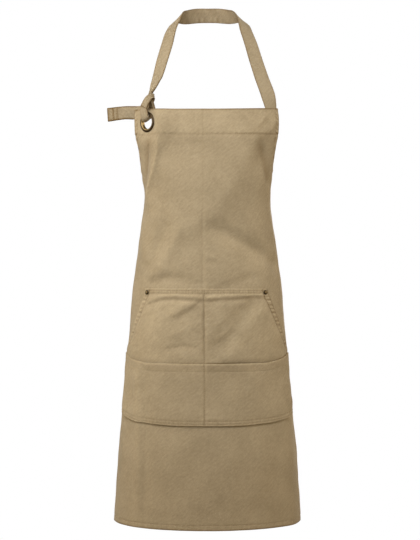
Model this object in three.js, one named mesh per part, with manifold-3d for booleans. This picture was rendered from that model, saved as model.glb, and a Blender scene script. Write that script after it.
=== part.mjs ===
// Canvas bib apron in the form it takes when worn, in millimetres.
// +Z is up, the front faces -Y, and the origin is the middle of the neck strap's inner face at the nape.
// The cloth is laid out in two coordinates: "across", the distance round the body from the centre front,
// and "height". A table of level sections turns them into places in space.
import * as THREE from "three";
import { mergeVertices } from "three/addons/utils/BufferGeometryUtils.js";
import Module from "manifold-3d";

const wasm = await Module();
wasm.setup();

// Driving dimensions
const BIB_TOP = -222; // height of the bib's top edge
const TURN = -3; // how far round the body the apron's centre sits
const APRON_LENGTH = 859; // from the bib's top edge to the hem
const BIB_HALF_WIDTH = 163; // along the cloth
const SKIRT_HALF_WIDTH = 360; // along the cloth
const ARMHOLE_DEPTH = 290; // from the bib's top edge to the waist corners
const LEFT_CORNER_LIFT = 3; // how far the strap draws up the bib's corners
const RIGHT_CORNER_LIFT = 6;
const CORNER_LIFT_DEPTH = 150; // how far down the bib that is felt
const TOP_HEM_DEPTH = 51; // the wide turned hem along the bib's top
const CLOTH = 1.2; // thickness of one layer of canvas
const SEAM_GAP = 0.5; // between layers that are sewn together
const METAL_GAP = 0.35; // between a metal fitting and the cloth under it

const UPPER_POCKET_TOP = -589;
const UPPER_POCKET_TOP_HALF = 136;
const POCKET_HALF_WIDTH = 220;
const HAND_OPENING_END = -726; // where a slanted hand opening meets the pocket's side
const HAND_OPENING_CURVE = 1.4; // 1 is straight, more is hollowed
const LOWER_POCKET_TOP = -739.5;
const POCKET_BOTTOM = -868;
const POCKET_RISE = 15; // how far the lower pocket's lines climb at its sides
const POCKET_RISE_START = 125; // where across they begin to climb
const UPPER_POCKET_SLACK = 3.4; // how far a pocket stands off at its fullest
const LOWER_POCKET_SLACK = 2.8;

const EYELET = {
  across: -124,
  height: -246.5,
  turnedBack: 10, // degrees that the strap's pull turns this corner of the bib outwards
  boreRadius: 14.3,
  barrelRadius: 15.3,
  flangeRadius: 21,
  flangeHeight: 2.2,
  washerRadius: 20.2,
  washerThickness: 0.9,
  flatRadius: 27, // the cloth is pressed flat under the fitting
  flatFade: 72,
};
const RIVET = {
  across: 130,
  drop: 7.5, // below the pocket's top edge
  capRadius: 4.8,
  capHeight: 2.6,
  postRadius: 2,
  backRadius: 3.8,
  backGap: 0.75,
};
const STRAP = { width: 31, thickness: 2.4, sewnLength: 36, sewnInset: 16, sewnGap: 2.8 };
const WAIST_TIE = { width: 28, thickness: 2, overlap: 26, top: -515, gap: 1 };

const HEM = BIB_TOP - APRON_LENGTH;
const WAIST = BIB_TOP - ARMHOLE_DEPTH;
const TOP_HEM_LINE = BIB_TOP - TOP_HEM_DEPTH;
const TOP_HEM_THICKNESS = 2 * CLOTH;

// Level sections of the worn apron, from the bib's top to the hem. Each is half a superellipse in front of
// the side line and half behind it.
const SECTIONS = [
  { height: -222, halfWidth: 152.0, frontDepth: 80, backDepth: 95, squareness: 2.4, front: -205 },
  { height: -250, halfWidth: 151.5, frontDepth: 81, backDepth: 95, squareness: 2.4, front: -209 },
  { height: -285, halfWidth: 147.0, frontDepth: 84, backDepth: 95, squareness: 2.35, front: -211 },
  { height: -320, halfWidth: 141.0, frontDepth: 89, backDepth: 95, squareness: 2.3, front: -209 },
  { height: -360, halfWidth: 135.5, frontDepth: 95, backDepth: 95, squareness: 2.2, front: -205 },
  { height: -400, halfWidth: 133.0, frontDepth: 100, backDepth: 95, squareness: 2.1, front: -200 },
  { height: -450, halfWidth: 138.5, frontDepth: 104, backDepth: 95, squareness: 2.05, front: -195 },
  { height: -512, halfWidth: 147.5, frontDepth: 108, backDepth: 96, squareness: 2.0, front: -193 },
  { height: -600, halfWidth: 158.5, frontDepth: 115, backDepth: 104, squareness: 2.0, front: -196 },
  { height: -700, halfWidth: 167.0, frontDepth: 121, backDepth: 114, squareness: 2.0, front: -200 },
  { height: -800, halfWidth: 176.0, frontDepth: 127, backDepth: 118, squareness: 2.0, front: -203 },
  { height: -900, halfWidth: 185.0, frontDepth: 131, backDepth: 120, squareness: 2.0, front: -205 },
  { height: -1000, halfWidth: 191.5, frontDepth: 134, backDepth: 121, squareness: 2.0, front: -207 },
  { height: -1081, halfWidth: 195.5, frontDepth: 136, backDepth: 122, squareness: 2.0, front: -208 },
];

// Soft folds of the worn cloth. Each runs along a line between two places, [across, height], and rises, or
// sinks, by so much within its reach.
const FOLDS = [
  { name: "left side ridge", from: [-106, -288], to: [-135, -404], rise: 4, reach: 17 },
  { name: "left side hollow", from: [-138, -292], to: [-160, -380], rise: -3, reach: 16 },
  { name: "right hollow", from: [132, -290], to: [116, -332], rise: -4.5, reach: 20 },
  { name: "right swell", from: [122, -352], to: [116, -390], rise: 1.5, reach: 24 },
  { name: "belly hollow", from: [12, -438], to: [120, -510], rise: -3.5, reach: 28 },
  { name: "left drape", from: [-150, -500], to: [-105, -560], rise: 3, reach: 22 },
  { name: "pocket shade", from: [-108, -574], to: [-40, -560], rise: -2.5, reach: 14 },
  { name: "left flute", from: [-150, -780], to: [-156, -1010], rise: 2.5, reach: 20 },
  { name: "right flute", from: [186, -800], to: [196, -1081], rise: 3.5, reach: 26 },
  { name: "back left flute", from: [-300, -700], to: [-290, -1081], rise: 6, reach: 34 },
  { name: "back right flute", from: [296, -720], to: [288, -1081], rise: 6, reach: 34 },
];

const CANVAS = { color: 0xb39f80, roughness: 0.92, metalness: 0 };
const ANTIQUE_BRASS = { color: 0x6b5335, roughness: 0.38, metalness: 1 };

const lerp = THREE.MathUtils.lerp;
const clamp = THREE.MathUtils.clamp;
const stepsFrom = (a, b, count) => Array.from({ length: count + 1 }, (_, k) => lerp(a, b, k / count));

// A smooth reading of the section table at any height: a cubic through its rows.
function sectionAt(height) {
  const last = SECTIONS.length - 1;
  let k = SECTIONS.findIndex((row) => row.height <= height);
  k = clamp(k < 0 ? last : k, 1, last);
  const [before, upper, lower, after] = [k - 2, k - 1, k, k + 1].map((i) => SECTIONS[clamp(i, 0, last)]);
  const span = lower.height - upper.height;
  const t = clamp((height - upper.height) / span, 0, 1);
  const section = {};
  for (const column of Object.keys(upper)) {
    const slopeIn = (lower[column] - before[column]) / (lower.height - before.height);
    const slopeOut = (after[column] - upper[column]) / (after.height - upper.height);
    section[column] =
      upper[column] * (2 * t ** 3 - 3 * t ** 2 + 1) +
      lower[column] * (3 * t ** 2 - 2 * t ** 3) +
      span * (slopeIn * (t ** 3 - 2 * t ** 2 + t) + slopeOut * (t ** 3 - t ** 2));
  }
  return section;
}

// One side of a section as points from the centre front to the centre back, with their distances round it.
const OUTLINE_STEPS = 120;
const outlines = new Map();
function outlineAt(height) {
  const key = height.toFixed(3);
  if (!outlines.has(key)) {
    const { halfWidth, frontDepth, backDepth, squareness, front } = sectionAt(height);
    const power = 2 / squareness;
    const points = stepsFrom(0, Math.PI, OUTLINE_STEPS).map((angle) => {
      const [sine, cosine] = [Math.sin(angle), Math.cos(angle)];
      const depth = cosine > 0 ? -frontDepth : backDepth;
      const x = halfWidth * Math.abs(sine) ** power;
      const y = front + frontDepth + depth * Math.abs(cosine) ** power;
      return new THREE.Vector2(x, y);
    });
    const lengths = [0];
    for (let i = 1; i < points.length; i++) {
      lengths.push(lengths[i - 1] + points[i].distanceTo(points[i - 1]));
    }
    outlines.set(key, { points, lengths });
  }
  return outlines.get(key);
}

function pointOnOutline({ points, lengths }, distance) {
  const along = Math.min(Math.abs(distance), lengths.at(-1) - 1e-6);
  const i = lengths.findIndex((length) => length > along);
  const t = (along - lengths[i - 1]) / (lengths[i] - lengths[i - 1]);
  const p = points[i - 1].clone().lerp(points[i], t);
  return new THREE.Vector2(Math.sign(distance) * p.x, p.y);
}

function foldRise(across, height) {
  let total = 0;
  const here = new THREE.Vector2(across, height);
  for (const { from, to, rise, reach } of FOLDS) {
    const start = new THREE.Vector2(...from);
    const run = new THREE.Vector2(...to).sub(start);
    const t = clamp(here.clone().sub(start).dot(run) / run.lengthSq(), 0, 1);
    const away = start.addScaledVector(run, t).distanceTo(here);
    total += rise * Math.exp(-((away / reach) ** 2));
  }
  return total;
}

// The worn surface without the flat that the eyelet presses into it.
function foldedPoint(across, height) {
  const outline = outlineAt(height);
  const distance = across + TURN;
  const here = pointOnOutline(outline, distance);
  const along = pointOnOutline(outline, distance + 1).sub(pointOnOutline(outline, distance - 1)).normalize();
  const rise = foldRise(across, height);
  return new THREE.Vector3(here.x + along.y * rise, here.y - along.x * rise, height);
}

function normalOf(surface, across, height) {
  const step = 2;
  const wide = surface(across + step, height).sub(surface(across - step, height));
  const tall = surface(across, height + step).sub(surface(across, height - step));
  return wide.cross(tall).normalize();
}

const eyeletCentre = foldedPoint(EYELET.across, EYELET.height);
const UP = new THREE.Vector3(0, 0, 1);
const eyeletOut = normalOf(foldedPoint, EYELET.across, EYELET.height)
  .setZ(0)
  .normalize()
  .applyAxisAngle(UP, -THREE.MathUtils.degToRad(EYELET.turnedBack));
const eyeletAcross = new THREE.Vector3(-eyeletOut.y, eyeletOut.x, 0);

// The worn surface, pressed flat round the eyelet.
function surfacePoint(across, height) {
  const p = foldedPoint(across, height);
  const offset = p.clone().sub(eyeletCentre);
  const weight = 1 - THREE.MathUtils.smoothstep(offset.length(), EYELET.flatRadius, EYELET.flatFade);
  return p.addScaledVector(eyeletOut, -weight * offset.dot(eyeletOut));
}

const clothNormal = (across, height) => normalOf(surfacePoint, across, height);
const clothPoint = (across, height, lift) =>
  surfacePoint(across, height).addScaledVector(clothNormal(across, height), lift);

// A closed solid from two lattices of points, one for each face of a sheet, and the wall round its edge.
// Rows run down and columns run to the right as seen from outside. Points that coincide drop their faces.
function sheetGeometry(outer, inner) {
  const positions = [];
  const triangle = (a, b, c) => {
    if (a.distanceTo(b) < 1e-4 || b.distanceTo(c) < 1e-4 || c.distanceTo(a) < 1e-4) return;
    positions.push(...a, ...b, ...c);
  };
  const quad = (a, b, c, d) => {
    triangle(a, b, c);
    triangle(a, c, d);
  };
  const [rows, columns] = [outer.length - 1, outer[0].length - 1];
  for (let i = 0; i < rows; i++) {
    for (let j = 0; j < columns; j++) {
      quad(outer[i][j], outer[i + 1][j], outer[i + 1][j + 1], outer[i][j + 1]);
      quad(inner[i][j], inner[i][j + 1], inner[i + 1][j + 1], inner[i + 1][j]);
    }
    quad(outer[i][0], inner[i][0], inner[i + 1][0], outer[i + 1][0]);
    quad(outer[i + 1][columns], inner[i + 1][columns], inner[i][columns], outer[i][columns]);
  }
  for (let j = 0; j < columns; j++) {
    quad(outer[0][j + 1], inner[0][j + 1], inner[0][j], outer[0][j]);
    quad(outer[rows][j], inner[rows][j], inner[rows][j + 1], outer[rows][j + 1]);
  }
  const geometry = new THREE.BufferGeometry();
  geometry.setAttribute("position", new THREE.Float32BufferAttribute(positions, 3));
  return geometry;
}

function solidOf(geometry) {
  const bare = new THREE.BufferGeometry();
  const loose = geometry.index ? geometry.toNonIndexed() : geometry;
  bare.setAttribute("position", loose.getAttribute("position"));
  const merged = mergeVertices(bare, 1e-3);
  return new wasm.Manifold(
    new wasm.Mesh({
      numProp: 3,
      vertProperties: merged.getAttribute("position").array,
      triVerts: new Uint32Array(merged.index.array),
    }),
  );
}

function geometryOf(solid) {
  const mesh = solid.getMesh();
  const geometry = new THREE.BufferGeometry();
  geometry.setAttribute("position", new THREE.BufferAttribute(new Float32Array(mesh.vertProperties), 3));
  geometry.setIndex(new THREE.BufferAttribute(new Uint32Array(mesh.triVerts), 1));
  return geometry;
}

// Round holes through a sheet, each at a place on the cloth and square to it.
function pierced(geometry, holes) {
  const HOLE_LENGTH = 24;
  const HOLE_SIDES = 20;
  let solid = solidOf(geometry);
  for (const { centre, axis, radius } of holes) {
    const cutter = new THREE.CylinderGeometry(radius, radius, HOLE_LENGTH, HOLE_SIDES);
    cutter.applyQuaternion(new THREE.Quaternion().setFromUnitVectors(new THREE.Vector3(0, 1, 0), axis));
    cutter.translate(...centre);
    solid = solid.subtract(solidOf(cutter));
  }
  return geometryOf(solid);
}

function piece(name, geometry, finish) {
  geometry.computeVertexNormals();
  const mesh = new THREE.Mesh(geometry, new THREE.MeshStandardMaterial(finish));
  mesh.name = name;
  return mesh;
}

// Lattice columns shared by the body and the pockets, so that their facets lie parallel
const pocketColumns = stepsFrom(-POCKET_HALF_WIDTH, POCKET_HALF_WIDTH, 24);
const sideColumns = stepsFrom(POCKET_HALF_WIDTH, SKIRT_HALF_WIDTH, 6).slice(1);
const bodyColumns = [...sideColumns.map((across) => -across).reverse(), ...pocketColumns, ...sideColumns];

const rivetHeight = UPPER_POCKET_TOP - RIVET.drop;
const rivetSeats = [
  { name: "rivet_left", across: -RIVET.across },
  { name: "rivet_right", across: RIVET.across },
].map((seat) => ({
  ...seat,
  centre: surfacePoint(seat.across, rivetHeight),
  axis: clothNormal(seat.across, rivetHeight),
  radius: RIVET.postRadius + 2 * METAL_GAP,
}));

// The apron's one main panel: the bib with its armholes, and the skirt
function apronBody() {
  const halfWidthAt = (height) => {
    const down = clamp((BIB_TOP - height) / ARMHOLE_DEPTH, 0, 1);
    return lerp(SKIRT_HALF_WIDTH, BIB_HALF_WIDTH, Math.sqrt(1 - down * down));
  };
  const armholeStart = Math.asin((TOP_HEM_DEPTH + 3) / ARMHOLE_DEPTH);
  const rows = [
    ...stepsFrom(BIB_TOP, TOP_HEM_LINE, 4),
    ...stepsFrom(armholeStart, Math.PI / 2, 12).map((angle) => BIB_TOP - ARMHOLE_DEPTH * Math.sin(angle)),
    ...stepsFrom(WAIST, HEM, 22).slice(1),
  ];
  const drawnUp = (across, height) => {
    const felt = clamp(1 - (BIB_TOP - height) / CORNER_LIFT_DEPTH, 0, 1);
    return felt * (across < 0 ? LEFT_CORNER_LIFT : RIGHT_CORNER_LIFT) * (across / BIB_HALF_WIDTH) ** 2;
  };
  const lattice = (liftAt) =>
    rows.map((height) => {
      const edge = halfWidthAt(height);
      return bodyColumns.map((column) => {
        const across = clamp(column, -edge, edge);
        return clothPoint(across, height + drawnUp(across, height), liftAt(height));
      });
    });
  const sheet = sheetGeometry(
    lattice(() => 0),
    lattice((height) => (height >= TOP_HEM_LINE ? -TOP_HEM_THICKNESS : -CLOTH)),
  );
  const eyeletHole = { centre: eyeletCentre, axis: eyeletOut, radius: EYELET.barrelRadius + METAL_GAP };
  return piece("apron_body", pierced(sheet, [eyeletHole, ...rivetSeats]), CANVAS);
}

// How far a pocket line has climbed at a place across
function pocketClimb(across) {
  const past = Math.max(0, Math.abs(across) - POCKET_RISE_START);
  return POCKET_RISE * (past / (POCKET_HALF_WIDTH - POCKET_RISE_START)) ** 2;
}

// How full a pocket is across: nothing at the centre seam and at its sides
const pocketFullness = (across) => Math.sin((Math.PI * Math.abs(across)) / POCKET_HALF_WIDTH) ** 2;

function upperPocketLift(across, height) {
  const down = clamp((UPPER_POCKET_TOP - height) / (UPPER_POCKET_TOP - LOWER_POCKET_TOP), 0, 1);
  return SEAM_GAP + UPPER_POCKET_SLACK * pocketFullness(across) * Math.sin(Math.PI * down);
}

// The hand-warmer pocket: sewn along its top, its centre and its bottom, open at its slanted sides
function upperPocket() {
  const rows = stepsFrom(0, 1, 12);
  const lattice = (layer) =>
    rows.map((down) => {
      const opening = (down * (UPPER_POCKET_TOP - POCKET_BOTTOM)) / (UPPER_POCKET_TOP - HAND_OPENING_END);
      const hollowed = clamp(opening, 0, 1) ** HAND_OPENING_CURVE;
      const edge = lerp(UPPER_POCKET_TOP_HALF, POCKET_HALF_WIDTH, hollowed);
      return pocketColumns.map((column) => {
        const across = clamp(column, -edge, edge);
        const height = lerp(UPPER_POCKET_TOP, POCKET_BOTTOM + pocketClimb(across), down);
        return clothPoint(across, height, upperPocketLift(across, height) + layer);
      });
    });
  return piece("upper_pocket", pierced(sheetGeometry(lattice(CLOTH), lattice(0)), rivetSeats), CANVAS);
}

// The tool pocket: sewn over the upper pocket's lower half, open along its top
function lowerPocket() {
  const rows = stepsFrom(0, 1, 6);
  const lattice = (layer) =>
    rows.map((down) =>
      pocketColumns.map((across) => {
        const climb = pocketClimb(across);
        const height = lerp(LOWER_POCKET_TOP, POCKET_BOTTOM, down) + climb;
        const under = upperPocketLift(across, height) + CLOTH;
        const slack = LOWER_POCKET_SLACK * pocketFullness(across) * (1 - down) ** 0.7;
        return clothPoint(across, height, under + SEAM_GAP + slack + layer);
      }),
    );
  return piece("lower_pocket", sheetGeometry(lattice(CLOTH), lattice(0)), CANVAS);
}

// A turned metal fitting, its axis square to the cloth at a seat
function turned(name, profile, sides, { centre, axis }) {
  const points = profile.map(([radius, out]) => new THREE.Vector2(radius, out));
  const mesh = piece(name, new THREE.LatheGeometry(points, sides), ANTIQUE_BRASS);
  mesh.position.copy(centre);
  mesh.quaternion.setFromUnitVectors(new THREE.Vector3(0, 1, 0), axis);
  return mesh;
}

// The eyelet: a rounded flange in front, a barrel through the doubled hem, and a lip curled over the washer
function eyelet() {
  const { boreRadius: bore, barrelRadius: barrel, flangeRadius: flange, flangeHeight: top } = EYELET;
  const back = -TOP_HEM_THICKNESS - 2 * METAL_GAP - EYELET.washerThickness;
  const profile = [
    [bore, back - 1.2],
    [bore, top - 0.9],
    [bore + 0.9, top],
    [bore + 2.6, top + 0.3],
    [flange - 2.4, top - 0.4],
    [flange - 0.4, METAL_GAP + 1.1],
    [flange, METAL_GAP],
    [barrel, METAL_GAP],
    [barrel, back - METAL_GAP],
    [barrel + 1.7, back - METAL_GAP],
    [barrel + 1.5, back - 1.2],
    [bore + 0.6, back - 1.7],
    [bore, back - 1.2],
  ];
  return turned("eyelet", profile.reverse(), 28, { centre: eyeletCentre, axis: eyeletOut });
}

function eyeletWasher() {
  const front = -TOP_HEM_THICKNESS - METAL_GAP;
  const [inner, outer] = [EYELET.barrelRadius + METAL_GAP, EYELET.washerRadius];
  const back = front - EYELET.washerThickness;
  const profile = [[inner, back], [inner, front], [outer, front], [outer, back], [inner, back]];
  return turned("eyelet_washer", profile.reverse(), 28, { centre: eyeletCentre, axis: eyeletOut });
}

// A rivet: a domed cap on the pocket's corner, a post through both layers, and a flat head behind
function rivet(seat) {
  const under = upperPocketLift(seat.across, rivetHeight) + CLOTH + METAL_GAP;
  const behind = -CLOTH - RIVET.backGap;
  const { capRadius: cap, capHeight: dome, postRadius: post, backRadius } = RIVET;
  const profile = [
    [0, behind - 0.9],
    [backRadius, behind - 0.9],
    [backRadius, behind],
    [post, behind],
    [post, under],
    [cap, under],
    [cap - 0.3, under + 0.35 * dome],
    [0.72 * cap, under + 0.75 * dome],
    [0.38 * cap, under + 0.95 * dome],
    [0, under + dome],
  ];
  return turned(seat.name, profile, 14, seat);
}

// The neck strap's stations, from its sewn end at the right of the bib, round the nape, through the eyelet
// from behind, up across itself, round behind itself and out to its free end.
// "facing" is the way the strap's outer face looks.
const STRAP_BUNCHED = 5; // thickness where the strap is gathered
const onBib = (height) => {
  const across = BIB_HALF_WIDTH - STRAP.sewnInset;
  const lift = -(TOP_HEM_THICKNESS + STRAP.sewnGap + STRAP.thickness / 2);
  return {
    at: clothPoint(across, height, lift),
    facing: clothNormal(across, height),
    width: STRAP.width,
    thickness: STRAP.thickness,
  };
};
const inSpace = (at, facing, width = STRAP.width, thickness = STRAP.thickness) => ({
  at: new THREE.Vector3(...at),
  facing: new THREE.Vector3(...facing),
  width,
  thickness,
});
const knotVector = (across, up, out) =>
  new THREE.Vector3(0, 0, up).addScaledVector(eyeletAcross, across).addScaledVector(eyeletOut, out);
const inKnot = (at, facing, width, thickness = STRAP_BUNCHED) => ({
  at: knotVector(...at).add(eyeletCentre),
  facing: knotVector(...facing),
  width,
  thickness,
});

const STRAP_STATIONS = [
  onBib(BIB_TOP - STRAP.sewnLength),
  onBib(BIB_TOP - STRAP.sewnLength / 2),
  onBib(BIB_TOP),
  inSpace([124.5, -160, -190], [0.3, -0.94, 0.15]),
  inSpace([113.5, -146, -152], [0.3, -0.92, 0.25]),
  inSpace([101.7, -127, -112], [0.32, -0.88, 0.35]),
  inSpace([91.5, -107, -74], [0.38, -0.8, 0.46]),
  inSpace([82.5, -88, -45], [0.46, -0.66, 0.6]),
  inSpace([77, -67.5, -24.5], [0.58, -0.44, 0.69]),
  inSpace([65.5, -46, -4], [0.72, 0, 0.7]),
  inSpace([45, -22, -1], [0.74, 0.6, 0.3]),
  inSpace([22, -6, 1.5], [0.4, 0.9, 0.1]),
  inSpace([0, STRAP.thickness / 2, 2], [0, 1, 0]),
  inSpace([-22, -6, 1.5], [-0.4, 0.9, 0.1]),
  inSpace([-44, -22, -1], [-0.74, 0.6, 0.3]),
  inSpace([-62.5, -46, -4], [-0.74, 0, 0.68]),
  inSpace([-71, -67.5, -23], [-0.65, -0.38, 0.65]),
  inSpace([-77, -90, -44], [-0.62, -0.65, 0.5]),
  inSpace([-85, -112, -78], [-0.52, -0.78, 0.38]),
  inSpace([-94, -136, -114], [-0.46, -0.84, 0.28], 28, 2.8),
  inSpace([-103.5, -166, -155], [-0.45, -0.87, 0.2], 23, 3.4),
  inKnot([9.6, 76, -9.5], [0.4, 0, 1], 16.5, 4),
  inKnot([9, 64.5, -3.4], [0.3, 0.05, 1], 9, 4.8),
  inKnot([6.2, 59.5, -2.8], [0.15, 0.1, 1], 6.4, 5.2),
  inKnot([4.6, 53, -2], [0, 0.1, 1], 6.4, 5.2),
  inKnot([5.5, 43, -4.5], [0, 0.1, 1], 9),
  inKnot([6.5, 29, -8], [0, 0, 1], 14),
  inKnot([4, 15, -9.6], [0, -0.2, 1], 17, 4),
  inKnot([1, 5.5, -6.5], [0, 0.7, 0.7], 17, 4),
  inKnot([-0.5, 3.5, 0], [0, 1, 0], 17, 4),
  inKnot([-1, 8, 5.4], [0, 0.75, -0.65], 17, 4),
  inKnot([-2, 18, 6.8], [0, 0, -1], 17, 4),
  inKnot([-3, 28.5, 7.4], [0, 0, -1], 15, 4.4),
  inKnot([3, 38.2, 7.6], [0, 0, -1], 11),
  inKnot([8.3, 46, 6.6], [-0.1, 0, -1], 10),
  inKnot([11.4, 50.6, 3.9], [-0.7, 0, -0.7], 9, 4.2),
  inKnot([11.8, 53, -2.2], [-1, 0, 0], 8.5, 3.6),
  inKnot([8, 53, -9.2], [-0.3, 0, 0.95], 10, 4.6),
  inKnot([0, 47.5, -12.4], [0, 0, 1], 13),
  inKnot([-11, 38, -12.5], [0, 0, 1], 16, 4.2),
  inKnot([-25, 27, -14], [0, 0.1, 1], 22, 3),
  inKnot([-42, 23.5, -12], [0.2, 0.1, 1], 28, STRAP.thickness),
  inKnot([-62, 23, 7], [0.5, 0.45, 0.74], STRAP.width, STRAP.thickness),
  inKnot([-89, 18.5, 29], [0.45, 0.46, 0.76], STRAP.width, STRAP.thickness),
];

// The strap as one band swept through its stations, with its corners taken off
function neckStrap() {
  const STEPS_PER_STATION = 3;
  const CORNER = 0.7;
  const path = new THREE.CatmullRomCurve3(STRAP_STATIONS.map(({ at }) => at), false, "centripetal");
  const last = STRAP_STATIONS.length - 1;
  const rings = stepsFrom(0, last, last * STEPS_PER_STATION).map((station) => {
    const k = Math.min(Math.floor(station), last - 1);
    const [from, to, t] = [STRAP_STATIONS[k], STRAP_STATIONS[k + 1], station - k];
    const along = path.getTangent(station / last);
    const facing = from.facing.clone().normalize().lerp(to.facing.clone().normalize(), t);
    facing.addScaledVector(along, -facing.dot(along)).normalize();
    const side = along.clone().cross(facing);
    const halfWidth = lerp(from.width, to.width, t) / 2;
    const halfThick = lerp(from.thickness, to.thickness, t) / 2;
    const centre = path.getPoint(station / last);
    const corners = [
      [halfWidth, -halfThick + CORNER],
      [halfWidth, halfThick - CORNER],
      [halfWidth - CORNER, halfThick],
      [-halfWidth + CORNER, halfThick],
      [-halfWidth, halfThick - CORNER],
      [-halfWidth, -halfThick + CORNER],
      [-halfWidth + CORNER, -halfThick],
      [halfWidth - CORNER, -halfThick],
    ];
    return corners.map(([wide, thick]) => {
      return centre.clone().addScaledVector(side, wide).addScaledVector(facing, thick);
    });
  });
  return piece("neck_strap", tubeGeometry(rings), CANVAS);
}

// A closed solid through a row of rings, each the same number of points
function tubeGeometry(rings) {
  const positions = [];
  const sides = rings[0].length;
  const triangle = (a, b, c) => positions.push(...a, ...b, ...c);
  for (let i = 0; i < rings.length - 1; i++) {
    for (let j = 0; j < sides; j++) {
      const next = (j + 1) % sides;
      triangle(rings[i][j], rings[i + 1][next], rings[i][next]);
      triangle(rings[i][j], rings[i + 1][j], rings[i + 1][next]);
    }
  }
  for (let j = 1; j < sides - 1; j++) {
    triangle(rings[0][0], rings[0][j], rings[0][j + 1]);
    triangle(rings.at(-1)[0], rings.at(-1)[j + 1], rings.at(-1)[j]);
  }
  const geometry = new THREE.BufferGeometry();
  geometry.setAttribute("position", new THREE.Float32BufferAttribute(positions, 3));
  return geometry;
}

// The waist tie, out of sight at the back: one plain band from waist corner to waist corner, inside the cloth
function waistTie() {
  const bottom = WAIST_TIE.top - WAIST_TIE.width;
  const { lengths } = outlineAt((WAIST_TIE.top + bottom) / 2);
  const girth = lengths.at(-1);
  const start = SKIRT_HALF_WIDTH - WAIST_TIE.overlap;
  const distances = [...stepsFrom(start + TURN, girth, 6), ...stepsFrom(-girth, TURN - start, 6).slice(1)];
  const row = (height, lift) => distances.map((distance) => roundBack(height, distance / girth, lift));
  const lattice = (lift) => [row(WAIST_TIE.top, lift), row(bottom, lift)];
  const near = -CLOTH - WAIST_TIE.gap;
  return piece("waist_tie", sheetGeometry(lattice(near), lattice(near - WAIST_TIE.thickness)), CANVAS);
}

// A place off a section's outline, at a share of the way from the centre front to the centre back
function roundBack(height, share, lift) {
  const outline = outlineAt(height);
  const distance = share * outline.lengths.at(-1);
  const here = pointOnOutline(outline, distance);
  const along = pointOnOutline(outline, distance + 1).sub(pointOnOutline(outline, distance - 1)).normalize();
  return new THREE.Vector3(here.x + along.y * lift, here.y - along.x * lift, height);
}

const apron = new THREE.Group();
apron.name = "canvas_apron";
apron.add(apronBody(), upperPocket(), lowerPocket(), eyelet(), eyeletWasher());
apron.add(...rivetSeats.map(rivet));
apron.add(neckStrap(), waistTie());

export default apron;
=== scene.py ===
# %% [markdown]
# # A canvas bib apron, finished in Blender
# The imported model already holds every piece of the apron, at its real size and in the form it takes when
# worn. This lesson loads that model as a fixed frame and gives each piece its surface: cloth with hems, folds
# and sewn lines, a strap knotted through an eyelet, and fittings of aged brass.
# Sizes are in millimetres, as a maker measures them, and become metres when a mesh is made.

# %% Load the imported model
import math

import bpy
import bmesh
import numpy as np
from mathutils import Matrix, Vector


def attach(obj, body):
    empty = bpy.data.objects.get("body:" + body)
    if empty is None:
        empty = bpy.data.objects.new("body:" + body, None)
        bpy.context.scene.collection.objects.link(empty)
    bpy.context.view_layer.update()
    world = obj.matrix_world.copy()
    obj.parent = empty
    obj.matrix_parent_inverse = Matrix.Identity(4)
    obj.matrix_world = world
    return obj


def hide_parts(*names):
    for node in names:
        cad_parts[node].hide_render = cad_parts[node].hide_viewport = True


MM = 0.001
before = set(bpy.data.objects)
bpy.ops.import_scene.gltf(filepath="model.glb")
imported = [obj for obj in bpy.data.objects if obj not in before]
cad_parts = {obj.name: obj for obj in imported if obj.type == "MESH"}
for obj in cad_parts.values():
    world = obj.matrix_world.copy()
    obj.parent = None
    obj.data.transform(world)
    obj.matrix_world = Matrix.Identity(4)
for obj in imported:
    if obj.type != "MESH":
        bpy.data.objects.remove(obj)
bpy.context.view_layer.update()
print("packed pieces:", ", ".join(sorted(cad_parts)))

# %% [markdown]
# ## The studio
# The photograph is a catalogue picture: the camera stands level with the apron's middle, far enough away for
# a calm perspective, on a pure white ground. The bib is the brightest part and the skirt grows darker and
# warmer towards its hem, so a soft key light hangs high and close, beside a weaker, cooler one for the bib,
# and two large fills stand far out to the sides, where they mostly light the cloth's turned edges. A last
# light, behind, only shows the inside in other views. The warmth between comes from the ground itself. The
# camera comes first, because every later choice is compared with the photograph through it.

# %% Camera
VIEW_DISTANCE = 3.0  # metres from the camera to the front of the bib
HALF_FRAME = 0.5508  # half of the picture's height at that distance


def add_object(name, data):
    thing = bpy.data.objects.new(name, data)
    bpy.context.scene.collection.objects.link(thing)
    return thing


camera_lens = bpy.data.cameras.new("catalogue_camera")
camera_lens.sensor_fit = "VERTICAL"
camera_lens.sensor_height = 24
camera_lens.lens = 12 * VIEW_DISTANCE / HALF_FRAME
camera = add_object("catalogue_camera", camera_lens)
camera.location = (0.0057, -3.2, -0.55)
camera.rotation_euler = (math.radians(90), 0, 0)
bpy.context.scene.camera = camera
bpy.context.scene.view_settings.view_transform = "Standard"
print(f"camera lens {camera_lens.lens:.1f} mm")


# %% Soft lights
def soft_box(name, place, aim, size, power, colour):
    lamp = bpy.data.lights.new(name, "AREA")
    lamp.shape = "RECTANGLE"
    lamp.size = size
    lamp.size_y = size
    lamp.energy = power
    lamp.color = colour
    box = add_object(name, lamp)
    box.location = place
    box.rotation_euler = (Vector(place) - Vector(aim)).to_track_quat("Z", "Y").to_euler()
    return box


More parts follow.
